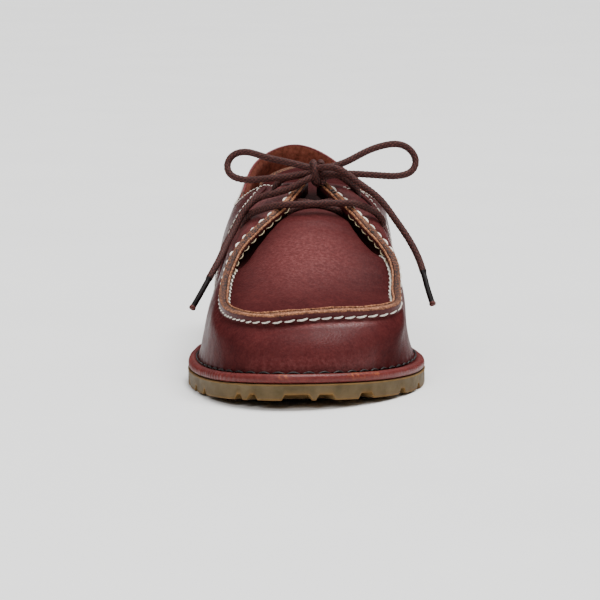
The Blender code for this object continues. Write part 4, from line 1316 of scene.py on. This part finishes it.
def add_tube(form, spots, radii, layer=None, hollow_shades=None):
    """A round tube through the points, with a radius for each point and side, closed at both ends."""
    sides, others = side_frames(spots)
    turns = 2 * math.pi * np.arange(radii.shape[1]) / radii.shape[1]
    spokes = sides[:, None] * np.cos(turns)[:, None] + others[:, None] * np.sin(turns)[:, None]
    verts, _ = add_grid(form, spots[:, None] + spokes * radii[..., None], closed=True)
    form.faces.new(verts[0])
    form.faces.new(verts[-1])
    if layer is not None:
        for row, values in zip(verts, hollow_shades):
            for vert, value in zip(row, values):
                vert[layer] = value


def add_lace(name, routes, short=0.0):
    """A piece of lace with its braid standing out: two sets of yarns that wind against each other, with
    painted shade in the hollows between them.
    """
    form = bmesh.new()
    hollow_shade_layer = form.verts.layers.float.new("hollow_shade")
    for route in routes:
        spots, travel = along_route(route, BRAID_STEP, short)
        turns = 2 * math.pi * np.arange(LACE_SIDES) / LACE_SIDES
        wound = 2 * math.pi * travel[:, None] / BRAID_PITCH
        yarns = np.cos(BRAID_CELLS * turns) * np.cos(wound)
        radii = LACE_DIAMETER / 2 - BRAID_DEPTH * (0.5 - 0.5 * yarns)
        add_tube(form, spots, radii, hollow_shade_layer, np.clip(0.5 - 0.9 * yarns, 0.0, 1.0))
    piece = add_piece(name, form, [lace_cord], sharp=80.0)
    return piece


def into_eyelet(k, *depths):
    """Points on an eyelet's axis, at distances out of the leather."""
    spot, out = eyelet_frames[k]
    return [tuple(spot + out * depth) for depth in depths]


INNER_LOWER, INNER_TOP, OUTER_LOWER, OUTER_TOP = range(4)
bar_route = (*into_eyelet(INNER_LOWER, -3.5, -1.0), *BAR, *into_eyelet(OUTER_LOWER, 0.5, -3.5))
bar = add_lace("lace_bar_tied", [bar_route])
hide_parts("lace_bar")
cross_route = (*CROSSING, *into_eyelet(OUTER_TOP, -4.0, -1.0), *RISER_OUTER)
back_route = (*CROSSING_BACK, *into_eyelet(INNER_TOP, -4.0, -1.0), *RISER_INNER)
crossing = add_lace("lace_crossing_tied", [cross_route, back_route])
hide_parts("lace_cross", "lace_riser_inner", "lace_riser_outer")

knot_route = []
for k in range(KNOT_POINTS):
    turn = KNOT_TURNS * k / (KNOT_POINTS - 1)
    angle = KNOT_START - 2 * math.pi * turn
    across = KNOT_CENTRE[0] + KNOT_PITCH * (turn - KNOT_TURNS / 2)
    along = KNOT_CENTRE[1] + KNOT_RADIUS * math.cos(angle)
    knot_route.append((across, along, KNOT_CENTRE[2] + KNOT_RADIUS * math.sin(angle)))


def tell_cord(route, short=0.0):
    """Works out even points along a piece of lace's route, from its first point on, and keeps nothing of
    them.
    """
    spots, travel = along_route(route, LACE_DIAMETER / 3, short)


def add_tip(name, route):
    """The shrunk end of a lace: a smooth sleeve and the brown fibres flared out beyond it."""
    spots, travel = along_route(route, TIP_STEP)
    sleeve = spots[travel >= travel[-1] - TIP_LENGTH]
    left = np.linspace(TIP_LENGTH, 0, len(sleeve))
    lip = TIP_RADIUS + TIP_LIP * ease(left, TIP_LENGTH - TIP_LIP_LENGTH, TIP_LENGTH)
    fray = TIP_RADIUS * (1.0 + TIP_FLARE * np.sin(math.pi * (TIP_FRAY - left) / TIP_FRAY))
    flared = left < TIP_FRAY
    radii = np.where(flared, fray, lip)
    form = bmesh.new()
    hollow_shade_layer = form.verts.layers.float.new("hollow_shade")
    full = np.repeat(radii[:, None], LACE_SIDES, axis=1)
    add_tube(form, sleeve, full, hollow_shade_layer, np.zeros_like(full))
    for face in form.faces:
        spot = np.mean([vert.co for vert in face.verts], axis=0)
        nearest = np.argmin(np.linalg.norm(placed(sleeve) - spot, axis=1))
        face.material_index = int(flared[nearest])
    piece = add_piece(name, form, [tip_plastic, lace_cord], sharp=50.0)
    return piece


knot = add_lace("lace_knot_tied", [knot_route])
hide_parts("lace_knot")
tell_cord(knot_route)
for name, route in (("lace_loop_inner", LOOP_INNER), ("lace_loop_outer", LOOP_OUTER)):
    loop_piece = add_lace(name + "_tied", [route])
    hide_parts(name)
    tell_cord(route)
for name, route in (("lace_end_inner", END_INNER), ("lace_end_outer", END_OUTER)):
    end_piece = add_lace(name + "_tied", [route], TIP_LENGTH)
    tip = add_tip(name.replace("end", "tip"), route)
    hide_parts(name)
    tell_cord(route, TIP_LENGTH)


# Hand seam: white waxed thread sewn by hand along both sides of the raised seam, and looser beige
# thread inside its upper sides. Each stitch is a short tube that dives into the leather at both ends.
STITCH_SIDES = 8
STITCH_RINGS = 7
SEAM_START = 0.487
SEAM_END = 1.520
SEAM = (
    # loop, height of the outer stitches over the crest, radius, half length as a share of the pitch, rise
    (0.48, -1.2, 0.72, 0.38, 0.45), (0.64, -1.4, 0.70, 0.38, 0.45), (0.70, -2.4, 0.42, 0.40, 0.20),
    (0.74, -3.0, 0.32, 0.42, 0.02), (0.82, -3.3, 0.32, 0.42, 0.02), (0.86, -3.4, 0.36, 0.44, 0.35),
    (1.05, -3.4, 0.50, 0.43, 0.45), (1.19, -3.5, 0.46, 0.43, 0.40), (1.24, -3.4, 0.32, 0.42, 0.02),
    (1.32, -3.0, 0.32, 0.40, 0.02), (1.36, -2.2, 0.50, 0.38, 0.30), (1.40, -1.4, 0.70, 0.38, 0.45),
    (1.52, -1.0, 0.72, 0.40, 0.45),
)
SEAM_OUT = 0.1
SEAM_UNEVEN = 0.15
SEAM_SLANT = 0.35
CHAIN_PITCH = 3.4
CHAIN_HALF = 1.9
CHAIN_SLANT = 0.5
CHAINS = (
    # points of a line over the toe piece's patch, each as its share across and its share ahead
    ((0.012, 0.36), (0.012, 0.82), (0.018, 0.90), (0.035, 0.95), (0.065, 0.975)),
    ((0.988, 0.25), (0.988, 0.97)),
)
LOOSE = (
    # where the loose stitches begin and end on the loop, on each side
    (0.52, 0.695), (1.375, 1.48),
)
LOOSE_DROP = 2.2
LOOSE_SHARE = 0.45
LOOSE_LEAN = 0.6


def thread(name, dark, light):
    """Waxed twisted thread."""
    material, tree, shader, place = start_material(name, IOR=1.45, Roughness=0.55)
    twist = mottle(tree, place, 0.6, detail=3.0)
    tree.links.new(shades(tree, twist, (0.3, dark), (0.65, light)), shader.inputs["Base Color"])
    tree.links.new(relief(tree, twist, 0.12), shader.inputs["Normal"])
    return material


def add_stitch(form, start, end, out, radius, rise, dive):
    """One stitch: a short thread that arches over the leather and dives into it at both ends."""
    share = np.linspace(0, 1, STITCH_RINGS)[:, None]
    arch = np.sin(math.pi * share)
    spots = start + (end - start) * share + out * (rise * arch - dive * (1 - arch))
    fat = radius * (0.62 + 0.38 * arch ** 0.6)
    add_tube(form, spots, np.repeat(fat, STITCH_SIDES, axis=1))


def ridge_spot(loop, across, up_by):
    """A point beside the raised seam, with the ways along it, in across it and up it."""
    crest, up, inward, _ = ridge_frame(np.array(loop))
    run = ridge_frame(np.array(loop + NUDGE))[0] - ridge_frame(np.array(loop - NUDGE))[0]
    return crest + up * up_by + inward * across, run / np.linalg.norm(run), inward, up


def toe_spot(over, ahead):
    """Points of the toe piece's face between the patch's own points."""
    rows, columns = ahead * SIDE_STATIONS, over * TOE_STATIONS
    i = np.clip(rows.astype(int), 0, SIDE_STATIONS - 1)
    j = np.clip(columns.astype(int), 0, TOE_STATIONS - 1)
    up, on = (rows - i)[:, None], (columns - j)[:, None]
    near = toe_face[i, j] * (1 - on) + toe_face[i, j + 1] * on
    far = toe_face[i + 1, j] * (1 - on) + toe_face[i + 1, j + 1] * on
    return near * (1 - up) + far * up


def stitch_loops(start, end):
    """Middles of the hand stitches between two places on the loop, with each stitch's pitch."""
    fine = np.linspace(start, end, 2000)
    counts = stitch_count(fine)
    middles = np.arange(math.ceil(counts[0] - 0.5), counts[-1] - 0.5) + 0.5
    loops = np.interp(middles, counts, fine)
    return list(zip(loops, read_off(STITCH_PITCHES, loops)))


white_thread = thread("white waxed thread", "#c4baa6", "#f6f2e8")
beige_thread = thread("beige waxed thread, soiled", "#6b5a42", "#c9b995")
seam_columns = [[(row[0], row[k]) for row in SEAM] for k in range(1, 5)]
seam_form = bmesh.new()
for k, (loop, pitch) in enumerate(stitch_loops(SEAM_START, SEAM_END)):
    low, thick, share, rise = (read_off(column, loop) for column in seam_columns)
    low += SEAM_UNEVEN * math.sin(k * 2.1)
    spot, run, inward, up = ridge_spot(loop, -RIDGE_WIDTH / 2 - SEAM_OUT, low)
    half = run * pitch * share + up * SEAM_SLANT
    add_stitch(seam_form, spot - half, spot + half, -inward, thick, rise, dive=0.35)
for chain in CHAINS:
    over, ahead = along_route([(*point, 0.0) for point in chain], 0.005)[0][:, :2].T
    line = toe_spot(over, ahead)
    beside = toe_spot(over + 0.01, ahead)
    travel = lengths_along(line)
    for middle in np.arange(CHAIN_PITCH / 2, travel[-1], CHAIN_PITCH):
        spot = points_at(middle, travel, line)
        run = points_at(middle + 0.5, travel, line) - spot
        across = points_at(middle, travel, beside) - spot
        run /= np.linalg.norm(run)
        across /= np.linalg.norm(across)
        out = np.cross(across, run)
        out *= np.sign(out[2])
        half = run * CHAIN_HALF + across * CHAIN_SLANT
        add_stitch(seam_form, spot - half, spot + half, out, radius=0.5, rise=0.55, dive=0.1)
hand_seam = add_piece("white_hand_seam", seam_form, [white_thread], sharp=80.0)
loose_form = bmesh.new()
for start, end in LOOSE:
    for loop, pitch in stitch_loops(start, end):
        spot, run, inward, up = ridge_spot(loop, RIDGE_WIDTH / 2, -LOOSE_DROP)
        half = run * pitch * LOOSE_SHARE
        out = inward - up * LOOSE_LEAN
        add_stitch(loose_form, spot - half, spot + half, out, radius=0.26, rise=0.55, dive=0.25)
loose_seam = add_piece("beige_loose_seam", loose_form, [beige_thread], sharp=80.0)


# Fine seam: thinner white thread, sewn by machine in one row below the collar's edge and in one row
# down each end of the heel quarter.
FINE_PITCH = 3.0
FINE_RISE = 0.15
FINE_DIVE = 0.2
TOPLINE_SHARE = 0.93
TOPLINE_CLIMB = 0.035
TOPLINE_FRONT = 0.462
TOPLINE_OUT = 0.25
QUARTER_SEAM_SIDE = 0.98
QUARTER_SEAM_OUT = 0.1


def sew(form, spots, outs, length, radius, rise, dive):
    """A row of stitches centred on the points, each along the row."""
    runs = np.gradient(spots, axis=0)
    runs /= np.linalg.norm(runs, axis=1, keepdims=True)
    for spot, run, out in zip(spots, runs, outs):
        add_stitch(form, spot - run * length / 2, spot + run * length / 2, out, radius, rise, dive)


def sew_fine(path, outs, first, length, radius):
    """A row of fine stitches along a path, from a first place on it."""
    travel = lengths_along(path)
    picks = np.arange(first, travel[-1], FINE_PITCH)
    spots, ways = points_at(picks, travel, path), points_at(picks, travel, outs)
    sew(fine_form, spots, ways, length, radius, FINE_RISE, FINE_DIVE)


fine_form = bmesh.new()
quarter_out = QUARTER_GAP + QUARTER_THICKNESS + QUARTER_SEAM_OUT
loops = np.linspace(TOPLINE_FRONT, -TOPLINE_FRONT, 1500)
outer, inner = quarter_seams(np.array(1.0))
on_quarter = np.where(loops < 0, -loops < outer, loops < inner)
shares = TOPLINE_SHARE + TOPLINE_CLIMB * ease(loops, 0.36, 0.44)
path, outs = wall_point(loops, shares, np.where(on_quarter, quarter_out, TOPLINE_OUT))
sew_fine(path, outs, FINE_PITCH, length=2.2, radius=0.18)
for side in (-1, 1):
    up = np.linspace(0.03, 0.99, 400)
    path, outs = quarter_point(np.full(len(up), side * QUARTER_SEAM_SIDE), up, quarter_out)
    sew_fine(path, outs, FINE_PITCH / 2, length=2.1, radius=0.20)
fine_seam = add_piece("white_fine_seam", fine_form, [white_thread], sharp=80.0)


# Welt seam: black waxed thread in long stitches that holds the upper to the welt, one stitch to each
# gather of the leather, with two tacks over the outer end of the raised seam.
WELT_STITCH = 5.4
WELT_SEAM_OUT = 0.9
WELT_SEAM_UP = 0.35
TACK_LOOPS = (1.509, 1.5125)
TACK_HALF = 2.4

black_thread = thread("black waxed thread", "#0c0909", "#2a2221")
dark_form = bmesh.new()
fine = np.linspace(0.0, 1.999, 2000)
travel = welt_travel(fine)
count = int((travel[-1] - travel[0]) / PUCKER_PITCH)
loops = np.interp(travel[0] + PUCKER_PITCH * (np.arange(count) + 0.5), travel, fine)
spots, _ = outline_point(loops, welt_reach(loops)[:, 0] - WELT_SEAM_OUT)
spots = np.column_stack([spots, sole_top(spots[:, 1]) + WELT_THICKNESS + WELT_SEAM_UP])
ways = np.tile([0.0, 0.0, 1.0], (len(spots), 1))
sew(dark_form, spots, ways, WELT_STITCH, radius=0.42, rise=0.3, dive=0.4)
for loop in TACK_LOOPS:
    crest, up, inward, _ = ridge_frame(np.array(loop))
    start = crest - inward * TACK_HALF - up * 2.2
    end = crest + inward * TACK_HALF - up * 2.6
    add_stitch(dark_form, start, end, up, radius=0.5, rise=2.6, dive=0.2)
dark_seam = add_piece("black_welt_seam", dark_form, [black_thread], sharp=80.0)


# Stage: a plain pale floor under one broad soft ceiling light, with a small panel behind, a fill in
# front and a room that is brighter towards its top, so that the leather shows soft highlights.
FLOOR_SIZE = 24.0
ROOM_LOW = 0.05
ROOM_HIGH = 0.8
ROOM_DUSK = 0.25
ROOM_NOON = 0.9
CEILING_LIGHT = 4.3
CEILING_ANGLE = 34.0
CEILING_WAY = Vector((-0.24, -0.10, -1.0))
LIGHTS = (
    # name, place, size across, size along, power in watts
    ("back_panel", (0.1, 1.1, 2.0), 0.7, 0.5, 3.0),
    ("front_fill", (-0.7, -2.2, 1.6), 1.2, 1.0, 30.0),
)


def pale_floor():
    """Matte pale studio floor."""
    material, tree, shader, place = start_material("pale studio floor, matte", IOR=1.4, Roughness=0.9)
    tone = shades(tree, mottle(tree, place, 120.0), (0.3, "#f4f4f3"), (0.7, "#f7f7f6"))
    tree.links.new(tone, shader.inputs["Base Color"])
    return material


form = bmesh.new()
bmesh.ops.create_grid(form, x_segments=1, y_segments=1, size=FLOOR_SIZE / 2)
floor_mesh = bpy.data.meshes.new("floor")
form.to_mesh(floor_mesh)
form.free()
floor_mesh.materials.append(pale_floor())
floor = bpy.data.objects.new("floor", floor_mesh)
bpy.context.scene.collection.objects.link(floor)
floor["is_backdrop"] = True
for name, place, width, length, power in LIGHTS:
    lamp = bpy.data.lights.new(name, "AREA")
    lamp.shape = "RECTANGLE"
    lamp.size = width
    lamp.size_y = length
    lamp.energy = power
    light = bpy.data.objects.new(name, lamp)
    light.location = place
    light.rotation_euler = (TARGET - Vector(place)).to_track_quat("-Z", "Y").to_euler()
    bpy.context.scene.collection.objects.link(light)
ceiling = bpy.data.lights.new("ceiling", "SUN")
ceiling.energy = CEILING_LIGHT
ceiling.angle = math.radians(CEILING_ANGLE)
ceiling_light = bpy.data.objects.new("ceiling", ceiling)
ceiling_light.rotation_euler = CEILING_WAY.to_track_quat("-Z", "Y").to_euler()
bpy.context.scene.collection.objects.link(ceiling_light)
room = bpy.data.worlds.new("studio room")
room.use_nodes = True
tree = room.node_tree
facing = add_node(tree, "TexCoord", {}).outputs["Generated"]
height = add_node(tree, "SeparateXYZ", {"Vector": facing}).outputs["Z"]
shine = add_node(tree, "MapRange", {
    "Value": height, "From Min": ROOM_DUSK, "From Max": ROOM_NOON, "To Min": ROOM_LOW, "To Max": ROOM_HIGH,
}, interpolation_type="SMOOTHSTEP").outputs["Result"]
tree.nodes["Background"].inputs["Color"].default_value = (1.0, 1.0, 1.0, 1.0)
tree.links.new(shine, tree.nodes["Background"].inputs["Strength"])
bpy.context.scene.world = room

low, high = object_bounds()
